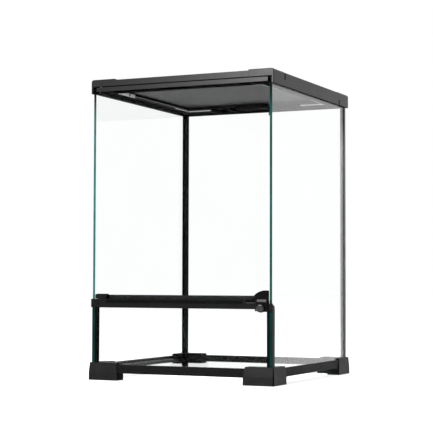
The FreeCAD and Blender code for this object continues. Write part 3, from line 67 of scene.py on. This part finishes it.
class Nodes:
    """The node tree of a new material or world, with short ways to add and join nodes."""

    def __init__(self, owner, output_kind):
        self.owner = owner
        self.owner.use_nodes = True
        self.tree = self.owner.node_tree
        self.tree.nodes.clear()
        self.output = self.add(output_kind)

    def add(self, kind, **settings):
        node = self.tree.nodes.new(kind)
        for key, value in settings.items():
            setattr(node, key, value)
        return node

    def join(self, source, target):
        self.tree.links.new(source, target)

    def surface(self, shader):
        """Puts a shader on the surface and returns the finished material or world."""
        self.join(shader, self.output.inputs["Surface"])
        return self.owner

    def place(self):
        """The place of a point in the part's frame, in metres."""
        return self.add("ShaderNodeTexCoord").outputs["Object"]

    def along(self, vector, axis):
        """The share of a vector along an axis."""
        split = self.add("ShaderNodeSeparateXYZ")
        self.join(vector, split.inputs["Vector"])
        return split.outputs[axis]

    def normal(self, axis):
        """The share of the surface's normal along an axis."""
        return self.along(self.add("ShaderNodeTexCoord").outputs["Normal"], axis)

    def noise(self, coordinates, scale, detail=2.0):
        node = self.add("ShaderNodeTexNoise")
        node.inputs["Scale"].default_value = scale
        node.inputs["Detail"].default_value = detail
        self.join(coordinates, node.inputs["Vector"])
        return node.outputs["Fac"]

    def remap(self, value, source, target):
        """Maps a value from one range to another and keeps it inside."""
        node = self.add("ShaderNodeMapRange")
        for key, bound in zip(("From Min", "From Max", "To Min", "To Max"), (*source, *target)):
            node.inputs[key].default_value = bound
        self.join(value, node.inputs["Value"])
        return node.outputs["Result"]

    def tones(self, value, low, high):
        """A colour between two tones, by a noise value."""
        node = self.add("ShaderNodeValToRGB")
        for stop, position, tone in zip(node.color_ramp.elements, NOISE_RANGE, (low, high)):
            stop.position = position
            stop.color = (*tone, 1.0)
        self.join(value, node.inputs["Fac"])
        return node.outputs["Color"]

    def calculate(self, operation, first, second=None, clamp=False):
        node = self.add("ShaderNodeMath", operation=operation, use_clamp=clamp)
        for socket, value in zip(node.inputs, (first, second)):
            if isinstance(value, (int, float)):
                socket.default_value = value
            elif value is not None:
                self.join(value, socket)
        return node.outputs[0]

    def square_to(self, axes):
        """1 on faces square to one of the axes, seen from outside or inside, 0 on the others."""
        found = None
        for axis in axes:
            share = self.calculate("ABSOLUTE", self.normal(axis))
            here = self.calculate("GREATER_THAN", share, SQUARE_ON)
            found = self.calculate("MAXIMUM", found, here) if found else here
        return found

    def within(self, limits):
        """1 inside the limits, each an axis, a lowest and a highest place in metres; 0 outside."""
        place = self.place()
        inside = None
        for axis, lowest, highest in limits:
            value = self.along(place, axis)
            above = self.calculate("GREATER_THAN", value, lowest)
            both = self.calculate("MULTIPLY", above, self.calculate("LESS_THAN", value, highest))
            inside = self.calculate("MULTIPLY", inside, both) if inside else both
        return inside

    def either(self, choice, first, second):
        """The second colour where the choice is 1, else the first."""
        node = self.add("ShaderNodeMix", data_type="RGBA")
        self.join(choice, node.inputs["Factor"])
        colours = [socket for socket in node.inputs if socket.type == "RGBA"]
        self.join(first, colours[0])
        self.join(second, colours[1])
        return next(socket for socket in node.outputs if socket.type == "RGBA")

    def either_shader(self, choice, first, second):
        """The second shader where the choice is 1, else the first."""
        node = self.add("ShaderNodeMixShader")
        for socket, source in zip(node.inputs, (choice, first, second)):
            self.join(source, socket)
        return node.outputs["Shader"]

    def bump(self, shader, height, strength, depth, normal=None):
        """Gives a shader fine bumps, on top of another normal if there is one."""
        node = self.add("ShaderNodeBump")
        node.inputs["Strength"].default_value = strength
        node.inputs["Distance"].default_value = depth
        self.join(height, node.inputs["Height"])
        if normal:
            self.join(normal, node.inputs["Normal"])
        self.join(node.outputs["Normal"], shader.inputs["Normal"])


def material_nodes(name):
    return Nodes(bpy.data.materials.new(name), "ShaderNodeOutputMaterial")


BLACK = ((0.0006, 0.0006, 0.0006), (0.0012, 0.0012, 0.0012))
SOFT_EDGE = 0.6 * MM
THIN_EDGE = 0.2 * MM
PATCH_GLOSS = 0.02
EDGE_SAMPLES = 4
MOTTLE_SCALE = 60.0
MOTTLE_DETAIL = 4.0
GLOSS_SCALE = 35.0
FINE_DETAIL = 3.0
UNDERSIDE_MATT = 0.5
GRAIN_SCALE = 1400.0
GRAIN_STRENGTH = 0.35
GRAIN_DEPTH = 0.04 * MM


def moulded(name, tones, rough, gloss=0.5, edge=SOFT_EDGE, patches=(), patch_gloss=PATCH_GLOSS):
    """Moulded plastic: fine grain, uneven gloss, matt undersides and softly rounded edges.

    A patch is a place in the part with its own two tones, and here each patch paints shade, a highlight or a
    reflection; all patches share a gloss.
    """
    nodes = material_nodes(name)
    place = nodes.place()
    shader = nodes.add("ShaderNodeBsdfPrincipled")
    shader.inputs["Specular IOR Level"].default_value = gloss
    mottle = nodes.noise(place, MOTTLE_SCALE, MOTTLE_DETAIL)
    colour = nodes.tones(mottle, *tones)
    inside = None
    for limits, patch_tones in patches:
        here = nodes.within(limits)
        colour = nodes.either(here, colour, nodes.tones(mottle, *patch_tones))
        inside = nodes.calculate("MAXIMUM", inside, here) if inside else here
    if inside:
        shine = nodes.remap(inside, (0.0, 1.0), (gloss, patch_gloss))
        nodes.join(shine, shader.inputs["Specular IOR Level"])
    nodes.join(colour, shader.inputs["Base Color"])
    roughness = nodes.remap(nodes.noise(place, GLOSS_SCALE, FINE_DETAIL), NOISE_RANGE, rough)
    is_under = nodes.calculate("LESS_THAN", nodes.normal(Z), -SQUARE_ON)
    matt = nodes.calculate("MULTIPLY", is_under, UNDERSIDE_MATT)
    nodes.join(nodes.calculate("ADD", roughness, matt, clamp=True), shader.inputs["Roughness"])
    rounding = nodes.add("ShaderNodeBevel", samples=EDGE_SAMPLES)
    rounding.inputs["Radius"].default_value = edge
    grain = nodes.noise(place, GRAIN_SCALE)
    nodes.bump(shader, grain, GRAIN_STRENGTH, GRAIN_DEPTH, rounding.outputs["Normal"])
    return nodes.surface(shader.outputs["BSDF"])


METAL_SCALE = 900.0
METAL_STRENGTH = 0.2
METAL_DEPTH = 0.03 * MM


def metal(name, tones, rough, metallic=1.0, stretch=(1.0, 1.0, 1.0), dark=None, stripes=None):
    """Metal with a fine grain, which may be drawn out along one way.

    A place of painted shade, in black, is given by its limits, and stripes across the tones by a scale and a
    turn in degrees.
    """
    nodes = material_nodes(name)
    place = nodes.place()
    drawn = nodes.add("ShaderNodeMapping")
    drawn.inputs["Scale"].default_value = stretch
    nodes.join(place, drawn.inputs["Vector"])
    grain = nodes.noise(drawn.outputs["Vector"], METAL_SCALE, FINE_DETAIL)
    shader = nodes.add("ShaderNodeBsdfPrincipled")
    shader.inputs["Metallic"].default_value = metallic
    pattern = grain
    if stripes:
        scale, turn = stripes
        turned = nodes.add("ShaderNodeMapping")
        turned.inputs["Rotation"].default_value = (0.0, 0.0, math.radians(turn))
        nodes.join(place, turned.inputs["Vector"])
        wave = nodes.add("ShaderNodeTexWave")
        wave.inputs["Scale"].default_value = scale
        nodes.join(turned.outputs["Vector"], wave.inputs["Vector"])
        pattern = wave.outputs["Fac"]
    colour = nodes.tones(pattern, *tones)
    # Painted shade: black over the given place.
    if dark:
        colour = nodes.either(nodes.within(dark), colour, nodes.tones(grain, *BLACK))
    nodes.join(colour, shader.inputs["Base Color"])
    nodes.join(nodes.remap(grain, NOISE_RANGE, rough), shader.inputs["Roughness"])
    nodes.bump(shader, grain, METAL_STRENGTH, METAL_DEPTH)
    return nodes.surface(shader.outputs["BSDF"])


GLASS_TINT = ((0.988, 0.998, 0.994), (0.994, 1.0, 0.998))
SHADOW_TINT = (0.93, 0.96, 0.945, 1.0)
RIPPLE_SCALE = 9.0
RIPPLE_DETAIL = 1.0
STREAK_SCALE = 45.0
EDGE_ROUGHNESS = 0.6
EDGE_GLOSS = 0.02
GROOVE_START = 150.0 * MM
SHADE_RANGE = (RAIL_LOW - 42.0 * MM, RAIL_LOW - 8.0 * MM)
SHADE_DEPTH = 0.9


def pane_glass(name, ior, edges, upper, lower, hidden=None, open_axes=()):
    """Clear float glass whose edges square to the given axes show the green of the sheet.

    The green has its upper tones above the vent bar, and darkens with painted shade towards the top rails,
    to black inside them. The edges at the rear may be hidden, in given tones: black, or a grey that paints
    a reflection. Those square to an open axis let the view through.
    """
    nodes = material_nodes(name)
    place = nodes.place()
    clear = nodes.add("ShaderNodeBsdfPrincipled")
    clear.inputs["Roughness"].default_value = 0.0
    clear.inputs["IOR"].default_value = ior
    clear.inputs["Transmission Weight"].default_value = 1.0
    ripple = nodes.noise(place, RIPPLE_SCALE, RIPPLE_DETAIL)
    nodes.join(nodes.tones(ripple, *GLASS_TINT), clear.inputs["Base Color"])

    edge = nodes.add("ShaderNodeBsdfPrincipled")
    edge.inputs["Roughness"].default_value = EDGE_ROUGHNESS
    edge.inputs["Specular IOR Level"].default_value = EDGE_GLOSS
    streak = nodes.noise(place, STREAK_SCALE, FINE_DETAIL)
    black = nodes.tones(streak, *BLACK)
    above_bar = nodes.within([(Z, GRILLE_HIGH[Z], CAD_TOP)])
    colour = nodes.either(above_bar, nodes.tones(streak, *lower), nodes.tones(streak, *upper))
    if hidden:
        in_groove = nodes.within([(Y, GROOVE_START, CAD_REAR)])
        colour = nodes.either(in_groove, colour, nodes.tones(streak, *hidden))
    # Painted shade: the edge green darkens towards the top rails and is black inside them.
    shade = nodes.remap(nodes.along(place, Z), SHADE_RANGE, (0.0, SHADE_DEPTH))
    colour = nodes.either(shade, colour, black)
    in_rail = nodes.within([(Z, RAIL_LOW, CAD_TOP)])
    nodes.join(nodes.either(in_rail, colour, black), edge.inputs["Base Color"])

    body = nodes.either_shader(nodes.square_to(edges), clear.outputs["BSDF"], edge.outputs["BSDF"])
    if open_axes:
        through = nodes.add("ShaderNodeBsdfTransparent").outputs["BSDF"]
        body = nodes.either_shader(nodes.square_to(open_axes), body, through)
    passing = nodes.add("ShaderNodeBsdfTransparent")
    passing.inputs["Color"].default_value = SHADOW_TINT
    is_shadow = nodes.add("ShaderNodeLightPath").outputs["Is Shadow Ray"]
    return nodes.surface(nodes.either_shader(is_shadow, body, passing.outputs["BSDF"]))


FRAME_TONES = ((0.005, 0.005, 0.0053), (0.009, 0.0088, 0.009))
RAIL_TONES = ((0.004, 0.004, 0.0043), (0.007, 0.007, 0.0072))
DARK_TONES = ((0.001, 0.001, 0.0011), (0.002, 0.002, 0.0022))
FRAME_ROUGH = (0.3, 0.35)
FRAME_GLOSS = 0.2
RAIL_ROUGH = (0.48, 0.56)
RAIL_GLOSS = 0.06
FOOT_ROUGH = (0.42, 0.5)
FOOT_GLOSS = 0.12

# Painted shade: black over the slots of the louvres and the room behind them.
VENT_PAINTED_SHADE = ([(Y, FRONT_Y + 0.1 * MM, FRONT_Y + 16.0 * MM),
              (Z, GRILLE_LOW[Z] + 6.8 * MM, GRILLE_LOW[Z] + 12.9 * MM)], BLACK)
# Painted shade: black over the underside and inside of the shelf, between the side rails.
SHELF_PAINTED_SHADE = ([(X, -145.9 * MM, 145.9 * MM), (Y, FRONT_Y + 10.0 * MM, CAD_REAR),
               (Z, RAIL_LOW - 1.0 * MM, RAIL_LOW + 10.6 * MM)], BLACK)
# Painted highlight: lighter tones on the rib that stands out in front of the latch bracket.
FINGER_RIB_HIGHLIGHT = ([(Y, FRONT_Y - 12.0 * MM, FRONT_Y - 2.6 * MM)], ((0.07, 0.07, 0.07), (0.11, 0.11, 0.11)))
RIB_GLOSS = 0.3
# Painted reflection: lighter tones on the outer side of the right rear post.
POST_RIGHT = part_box("rear_post_right")[1][X]
POST_SIDE_PAINTED_REFLECTION = ([(X, POST_RIGHT - 0.3 * MM, CAD_RIGHT)], ((0.10, 0.10, 0.10), (0.13, 0.13, 0.13)))
SIDE_GLOSS = 0.2
# Painted reflection: light tones on the low inner face of the left base rail, away from its ends.
LEFT_RAIL_LOW, LEFT_RAIL_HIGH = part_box("base_rail_left")
LEFT_RAIL_PAINTED_REFLECTION = ([(X, LEFT_RAIL_LOW[X] + 1.0 * MM, LEFT_RAIL_HIGH[X] + 1.0 * MM),
                    (Y, LEFT_RAIL_LOW[Y] + 30.0 * MM, LEFT_RAIL_HIGH[Y] - 45.0 * MM),
                    (Z, LEFT_RAIL_LOW[Z], LEFT_RAIL_LOW[Z] + 9.0 * MM)],
                   ((0.13, 0.13, 0.135), (0.24, 0.24, 0.245)))
LEFT_RAIL_GLOSS = 0.6
# Painted shade: black over the upper part of the rear legs of the metal angles.
BRACE_PAINTED_SHADE = [(Y, 70.0 * MM, CAD_REAR), (Z, RAIL_LOW + 4.1 * MM, CAD_TOP)]

# Painted shade: the frame plastic is black under and inside the shelf.
FRAME_PLASTIC = moulded("frame_plastic", FRAME_TONES, FRAME_ROUGH, FRAME_GLOSS, patches=[SHELF_PAINTED_SHADE])
THIN_PLASTIC = moulded("thin_plastic", FRAME_TONES, FRAME_ROUGH, FRAME_GLOSS, edge=THIN_EDGE)
# Painted reflection: lighter tones on the outer side of the right rear post.
SIDE_REFLECTION_PLASTIC = moulded("side_plastic_painted_reflection", FRAME_TONES, FRAME_ROUGH, FRAME_GLOSS, edge=THIN_EDGE,
                       patches=[POST_SIDE_PAINTED_REFLECTION], patch_gloss=SIDE_GLOSS)
FOOT_PLASTIC = moulded("foot_plastic", FRAME_TONES, FOOT_ROUGH, FOOT_GLOSS)
RAIL_PLASTIC = moulded("rail_plastic", RAIL_TONES, RAIL_ROUGH, RAIL_GLOSS)
# Painted reflection: light tones on the low inner face of the left base rail.
LEFT_RAIL_REFLECTION_PLASTIC = moulded("left_rail_painted_reflection", FRAME_TONES, FRAME_ROUGH, FRAME_GLOSS,
                            patches=[LEFT_RAIL_PAINTED_REFLECTION], patch_gloss=LEFT_RAIL_GLOSS)
# Painted shade: a darker copy of the black frame plastic, on the posts, the rear-left foot and the joints
# beside the caps.
POST_SHADE_PLASTIC = moulded("post_plastic_painted_shade", DARK_TONES, rough=(0.44, 0.52), gloss=0.03, edge=THIN_EDGE)
# Painted shade: black in the slots of the louvres.
VENT_PLASTIC = moulded("vent_plastic", RAIL_TONES, RAIL_ROUGH, RAIL_GLOSS, patches=[VENT_PAINTED_SHADE])
# Painted highlight: lighter tones on the finger rib.
LATCH_PLASTIC = moulded("latch_plastic", DARK_TONES, rough=(0.46, 0.54), gloss=0.04,
                        patches=[FINGER_RIB_HIGHLIGHT], patch_gloss=RIB_GLOSS)
# Painted highlight: a lighter grey for the lit edge of the step in the lock plate.
STEP_HIGHLIGHT_PLASTIC = moulded("step_painted_highlight", ((0.035, 0.035, 0.036), (0.05, 0.05, 0.052)), rough=(0.4, 0.5),
                       gloss=0.2)
KNOB_PLASTIC = moulded("knob_plastic", ((0.006, 0.006, 0.0062), (0.009, 0.009, 0.0092)), rough=(0.18, 0.26))
# Painted highlight: a light metal for the upper bead on the shelves' inner edges.
HIGHLIGHT_BEAD_METAL = metal("bead_painted_highlight", ((0.30, 0.30, 0.31), (0.42, 0.42, 0.43)), rough=(0.3, 0.45), metallic=0.3)
# Painted shade: the upper part of the rear legs of the angles is black.
BRACE_METAL = metal("brace_metal", ((0.72, 0.73, 0.73), (0.84, 0.85, 0.85)), rough=(0.3, 0.42), metallic=0.5,
                    stretch=(6.0, 1.0, 6.0), dark=BRACE_PAINTED_SHADE)
PIN_STEEL = metal("pin_steel", ((0.10, 0.10, 0.105), (0.18, 0.18, 0.185)), rough=(0.3, 0.42))
SCREW_STEEL = metal("screw_steel", ((0.42, 0.42, 0.43), (0.58, 0.58, 0.59)), rough=(0.25, 0.38))
BLACK_METAL = metal("black_metal", ((0.044, 0.044, 0.046), (0.066, 0.066, 0.068)), rough=(0.4, 0.55),
                    metallic=0.0)
WEAVE_METAL = metal("weave_metal", ((0.020, 0.020, 0.021), (0.095, 0.095, 0.098)), rough=(0.4, 0.55),
                    metallic=0.0, stripes=(57.0, -14.0))

DEEP_GREEN = ((0.002, 0.022, 0.018), (0.003, 0.038, 0.031))
MID_GREEN = ((0.008, 0.06, 0.048), (0.014, 0.1, 0.08))
PALE_GREEN = ((0.02, 0.11, 0.1), (0.04, 0.17, 0.155))
# Painted reflection: a grey for the rear edges of the right pane, lighter than the black groove they lie in.
GROOVE_PAINTED_REFLECTION = ((0.08, 0.08, 0.08), (0.12, 0.12, 0.12))
LEFT_GLASS = pane_glass("left_glass", 1.2, (Y, Z), PALE_GREEN, DEEP_GREEN, hidden=BLACK)
RIGHT_GLASS = pane_glass("right_glass", 1.5, (Y, Z), MID_GREEN, DEEP_GREEN, hidden=GROOVE_PAINTED_REFLECTION)
FRONT_GLASS = pane_glass("front_glass", 1.1, (Z,), MID_GREEN, DEEP_GREEN, open_axes=(X,))
BASE_GLASS = pane_glass("base_glass", 1.5, (X, Y), MID_GREEN, DEEP_GREEN)

BAND_MARGIN = 1.0 * MM
# Widths of the black bands of painted shade on the feet.
FOOT_OUTER = 1.9 * MM
FOOT_INNER = 0.2 * MM
FOOT_END = 2.2 * MM


def band(low, high, axis, depth, at_low):
    """A band of some depth along the low or the high side of a box, and a little beyond it."""
    if at_low:
        return axis, low[axis] - BAND_MARGIN, low[axis] + depth
    return axis, high[axis] - depth, high[axis] + BAND_MARGIN


def foot_plastic(corner):
    """Plastic of a foot with painted shade: black along its outer corner and on its end towards the next
    foot across.
    """
    low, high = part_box(f"base_corner_{corner}")
    is_left = corner[1] == "l"
    outer = band(low, high, X, FOOT_OUTER, is_left)
    inner = band(low, high, X, FOOT_INNER, not is_left)
    end = band(low, high, Y, FOOT_END, corner[0] == "f")
    # Painted shade: black bands along the outer corner and on the inner end of the foot.
    return moulded(f"foot_plastic_{corner}", FRAME_TONES, FOOT_ROUGH, FOOT_GLOSS,
                   patches=[([outer, end], BLACK), ([inner], BLACK)])


FINISHES = {
    "base_corner_fl": foot_plastic("fl"),
    "base_corner_fr": foot_plastic("fr"),
    # Painted shade: the rear-left foot takes the darker post plastic, where the other feet have a foot
    # finish.
    "base_corner_rl": POST_SHADE_PLASTIC,
    "base_corner_rr": foot_plastic("rr"),
    "base_rail_front": RAIL_PLASTIC,
    "base_rail_rear": RAIL_PLASTIC,
    "base_rail_left": LEFT_RAIL_REFLECTION_PLASTIC,
    "base_rail_right": RAIL_PLASTIC,
    "base_screws": SCREW_STEEL,
    "brace_screws": BLACK_METAL,
    "corner_strip_left": FOOT_PLASTIC,
    "corner_strip_right": FOOT_PLASTIC,
    "door_pane": FRONT_GLASS,
    "door_top_rail": THIN_PLASTIC,
    "front_post_left": POST_SHADE_PLASTIC,
    "front_post_right": POST_SHADE_PLASTIC,
    "hinge_clamp": VENT_PLASTIC,
    "hinge_pin_bottom": PIN_STEEL,
    "hinge_pin_top": PIN_STEEL,
    "latch_bracket": LATCH_PLASTIC,
    "latch_cam": LATCH_PLASTIC,
    "latch_knob": KNOB_PLASTIC,
    "lid_latch_pivots": SCREW_STEEL,
    "lid_mesh": BLACK_METAL,
    "lock_plate": RAIL_PLASTIC,
    "pane_base": BASE_GLASS,
    "pane_front_low": FRONT_GLASS,
    "pane_left": LEFT_GLASS,
    "pane_rear": FRONT_GLASS,
    "pane_right": RIGHT_GLASS,
    "rear_post_left": POST_SHADE_PLASTIC,
    "rear_post_right": SIDE_REFLECTION_PLASTIC,
    "shelf_braces": BRACE_METAL,
    "top_rail_rear": RAIL_PLASTIC,
    "vent_bar": VENT_PLASTIC,
    "vent_end_cap": RAIL_PLASTIC,
    "vent_grille": VENT_PLASTIC,
}
for node_name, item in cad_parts.items():
    item.data.materials.clear()
    item.data.materials.append(FINISHES.get(node_name, FRAME_PLASTIC))


def mesh_object(name, verts, faces, material):
    data = bpy.data.meshes.new(name)
    data.from_pydata(verts, [], faces)
    data.update()
    data.materials.append(material)
    item = bpy.data.objects.new(name, data)
    bpy.context.scene.collection.objects.link(item)
    return item


WIRE_PITCH = 1.8 * MM
WIRE_RADIUS = 0.24 * MM
HEAVY_RADIUS = 0.42 * MM
HEAVY_EVERY = 3
WIRE_SIDES = 6


def woven_mesh():
    """Fine wire mesh of the lid: two layers of thin wires that cross, with every third long wire heavier."""
    low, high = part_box("lid_mesh")
    middle = (low[Z] + high[Z]) / 2
    verts = []
    faces = []

    def strand(start, end, sideways, radius):
        first = len(verts)
        sides = range(WIRE_SIDES)
        for end_point in (start, end):
            for turn in sides:
                angle = turn * 2 * math.pi / WIRE_SIDES
                rise = Vector((0, 0, radius * math.sin(angle)))
                verts.append(end_point + sideways * (radius * math.cos(angle)) + rise)
        near = [first + turn for turn in sides]
        far = [place + WIRE_SIDES for place in near]
        for turn in sides:
            after = (turn + 1) % WIRE_SIDES
            faces.append((near[turn], near[after], far[after], far[turn]))
        faces.append(tuple(reversed(near)))
        faces.append(tuple(far))

    layers = ((X, Y, middle - WIRE_RADIUS, Vector((-1, 0, 0))),
              (Y, X, middle + WIRE_RADIUS, Vector((0, 1, 0))))
    for count_axis, run_axis, height, sideways in layers:
        span = high[count_axis] - low[count_axis]
        count = int(span / WIRE_PITCH)
        for index in range(count):
            is_heavy = count_axis == X and index % HEAVY_EVERY == 1
            radius = HEAVY_RADIUS if is_heavy else WIRE_RADIUS
            start = Vector((0, 0, height + WIRE_RADIUS - radius))
            start[count_axis] = low[count_axis] + (index + 0.5) * span / count
            end = start.copy()
            start[run_axis] = low[run_axis]
            end[run_axis] = high[run_axis]
            strand(start, end, sideways, radius)
    return mesh_object("lid_weave", verts, faces, WEAVE_METAL)


weave = woven_mesh()
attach(weave, "lid")
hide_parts("lid_mesh")


def trim_strip(name, low, high, material, body="case"):
    """A thin straight strip of trim between two corners, fixed to a body."""
    verts = [(x, y, z) for x in (low[X], high[X]) for y in (low[Y], high[Y]) for z in (low[Z], high[Z])]
    faces = [(0, 1, 3, 2), (4, 6, 7, 5), (0, 4, 5, 1), (2, 3, 7, 6), (0, 2, 6, 4), (1, 5, 7, 3)]
    item = mesh_object(name, verts, faces, material)
    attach(item, body)


BRACE_LEG = 55.0 * MM
BEAD_WIDTH = 0.6 * MM


def shelf_edge_beads():
    """A dark low bead, and a light upper bead that is a painted highlight, on each side shelf's inner edge,
    between the metal angles.
    """
    low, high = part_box("shelf_braces")
    beads = (("low", -0.1 * MM, 0.5 * MM, BLACK_METAL, "black_metal"),
             ("high", 2.0 * MM, 1.0 * MM, HIGHLIGHT_BEAD_METAL, "plate"))
    sides = (("left", low[X], low[X] + BEAD_WIDTH), ("right", high[X] - BEAD_WIDTH, high[X]))
    for side, left, right in sides:
        for bead, rise, height, finish, slot in beads:
            z = low[Z] + rise
            trim_strip(f"shelf_edge_beads_{side}_{bead}", (left, low[Y] + BRACE_LEG, z),
                       (right, high[Y] - BRACE_LEG, z + height), finish)


SEAM_DEPTH = 0.12 * MM
SEAM_HALF = 2.2 * MM
FRONT_SEAM = (RAIL_LOW + 10.0 * MM, RAIL_LOW + 20.0 * MM)
REAR_SEAM = (RAIL_LOW, RAIL_LOW + 8.5 * MM)


def cap_seams():
    """Dark strips beside the corner caps that paint the shade of the joints: on the upper half in front, on
    the lower half at the rear.
    """
    for corner in ("fl", "fr", "rl", "rr"):
        low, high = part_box(f"top_corner_{corner}")
        left = low[X] - SEAM_DEPTH if corner[1] == "l" else high[X]
        right = low[X] if corner[1] == "l" else high[X] + SEAM_DEPTH
        seam, (bottom, top) = (high[Y], FRONT_SEAM) if corner[0] == "f" else (low[Y], REAR_SEAM)
        trim_strip(f"cap_seam_{corner}", (left, seam - SEAM_HALF, bottom), (right, seam + SEAM_HALF, top),
                   POST_SHADE_PLASTIC)


LIP_REACH = 2.4 * MM
LIP_DEPTH = 3.0 * MM
LIP_DROP = 0.8 * MM
STEP_DROP = 3.5 * MM
STEP_RAISE = 0.25 * MM
STEP_HEIGHT = 1.1 * MM
STEP_LENGTH = 14.0 * MM


def clamp_lip():
    """A small lip at the left of the hinge clamp, which swings with the door."""
    low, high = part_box("hinge_clamp")
    trim_strip("clamp_lip", (low[X] - LIP_REACH, low[Y], low[Z]),
               (low[X], low[Y] + LIP_DEPTH, high[Z] - LIP_DROP), VENT_PLASTIC, "door")


def lock_step_highlight():
    """A painted highlight: a lighter strip on the edge of the step in the lock plate."""
    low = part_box("lock_plate")[0]
    top = GRILLE_HIGH[Z] - STEP_DROP
    trim_strip("lock_step_highlight", (low[X], low[Y] - STEP_RAISE, top - STEP_HEIGHT),
               (low[X] + STEP_LENGTH, low[Y], top), STEP_HIGHLIGHT_PLASTIC)


shelf_edge_beads()
cap_seams()
clamp_lip()
lock_step_highlight()


def seen_white(nodes):
    """1 for rays that the background is shown to: straight, mirrored or through glass."""
    rays = nodes.add("ShaderNodeLightPath")
    shown = nodes.calculate("MAXIMUM", rays.outputs["Is Camera Ray"], rays.outputs["Is Glossy Ray"])
    return nodes.calculate("MAXIMUM", shown, rays.outputs["Is Transmission Ray"])


def matt_shader(nodes, scale, tones):
    """A matt surface in two close tones."""
    matt = nodes.add("ShaderNodeBsdfDiffuse")
    colour = nodes.tones(nodes.noise(nodes.place(), scale), *tones)
    nodes.join(colour, matt.inputs["Color"])
    return matt.outputs["BSDF"]


FLOOR_REACH = 12.0
FLOOR_GLOW = 0.7
FLOOR_SCALE = 3.0
FLOOR_TONES = ((0.86, 0.86, 0.86), (0.88, 0.88, 0.88))


def pale_floor():
    """A pale matt floor that keeps the shadow and glows a little where it is seen."""
    nodes = material_nodes("pale_floor")
    glow = nodes.add("ShaderNodeEmission")
    nodes.join(nodes.calculate("MULTIPLY", seen_white(nodes), FLOOR_GLOW), glow.inputs["Strength"])
    both = nodes.add("ShaderNodeAddShader")
    nodes.join(matt_shader(nodes, FLOOR_SCALE, FLOOR_TONES), both.inputs[0])
    nodes.join(glow.outputs["Emission"], both.inputs[1])
    item = mesh_object("floor", [(-FLOOR_REACH, -FLOOR_REACH, 0), (FLOOR_REACH, -FLOOR_REACH, 0),
                                 (FLOOR_REACH, FLOOR_REACH, 0), (-FLOOR_REACH, FLOOR_REACH, 0)],
                       [(0, 1, 2, 3)], nodes.surface(both.outputs["Shader"]))


WALL_RADIUS = 4.0
WALL_HEIGHT = 3.6
WALL_FIRST = -120.0
WALL_LAST = 45.0
WALL_STEPS = 24
WALL_SCALE = 2.0
WALL_TONES = ((0.02, 0.02, 0.02), (0.03, 0.03, 0.03))


def dark_wall():
    """A curved dark wall round the front, as a studio has behind the camera; only reflections show it."""
    nodes = material_nodes("dark_card")
    material = nodes.surface(matt_shader(nodes, WALL_SCALE, WALL_TONES))
    verts = []
    for step in range(WALL_STEPS + 1):
        angle = math.radians(WALL_FIRST + (WALL_LAST - WALL_FIRST) * step / WALL_STEPS)
        for level in (0.0, WALL_HEIGHT):
            verts.append((WALL_RADIUS * math.sin(angle), -WALL_RADIUS * math.cos(angle), level))
    faces = [(2 * step, 2 * step + 2, 2 * step + 3, 2 * step + 1) for step in range(WALL_STEPS)]
    item = mesh_object("front_wall", verts, faces, material)
    item.visible_camera = False
    item.visible_diffuse = False
    item.visible_transmission = False
    item.visible_shadow = False


WORLD_LEVELS = (0.35, 1.0)


def white_world():
    """White where it is seen, and a softer light on the part."""
    nodes = Nodes(bpy.data.worlds.new("studio"), "ShaderNodeOutputWorld")
    background = nodes.add("ShaderNodeBackground")
    background.inputs["Color"].default_value = (1.0, 1.0, 1.0, 1.0)
    nodes.join(nodes.remap(seen_white(nodes), (0.0, 1.0), WORLD_LEVELS), background.inputs["Strength"])
    bpy.context.scene.world = nodes.surface(background.outputs["Background"])


MIDDLE = Vector((0.0, 0.0, 0.25))


def soft_light(name, place, size, power):
    """A square soft light that looks at the middle of the part."""
    data = bpy.data.lights.new(name, "AREA")
    data.shape = "RECTANGLE"
    data.size = data.size_y = size
    data.energy = power
    item = bpy.data.objects.new(name, data)
    item.location = place
    item.rotation_euler = (MIDDLE - Vector(place)).to_track_quat("-Z", "Y").to_euler()
    bpy.context.scene.collection.objects.link(item)


pale_floor()
dark_wall()
white_world()
soft_light("front_softbox", place=(-0.52, -2.5, 0.85), size=0.4, power=56.0)
soft_light("top_softbox", place=(0.1, 0.1, 2.4), size=1.8, power=10.0)

# The camera stands to the right of the front, a little above the floor, and looks slightly up.
YAW = math.radians(25.09)
PITCH = math.radians(2.767)
ROLL = math.radians(0.148)
EYE = Vector((0.9282, -2.008775, 0.1531))
LENS = 112.82
SENSOR = 36.0
LIGHT_BOUNCES = 24
ahead = Vector((-math.sin(YAW) * math.cos(PITCH), math.cos(YAW) * math.cos(PITCH), math.sin(PITCH)))
level_right = Vector((math.cos(YAW), math.sin(YAW), 0.0))
level_up = level_right.cross(ahead)
right = math.cos(ROLL) * level_right + math.sin(ROLL) * level_up
up = -math.sin(ROLL) * level_right + math.cos(ROLL) * level_up
lens = bpy.data.cameras.new("camera")
lens.lens = LENS
lens.sensor_width = SENSOR
camera = bpy.data.objects.new("camera", lens)
camera.matrix_world = Matrix.Translation(EYE) @ Matrix((right, up, -ahead)).transposed().to_4x4()
scene = bpy.context.scene
scene.collection.objects.link(camera)
scene.camera = camera
scene.view_settings.view_transform = "Standard"
scene.cycles.max_bounces = LIGHT_BOUNCES
scene.cycles.transmission_bounces = LIGHT_BOUNCES
scene.cycles.transparent_max_bounces = LIGHT_BOUNCES
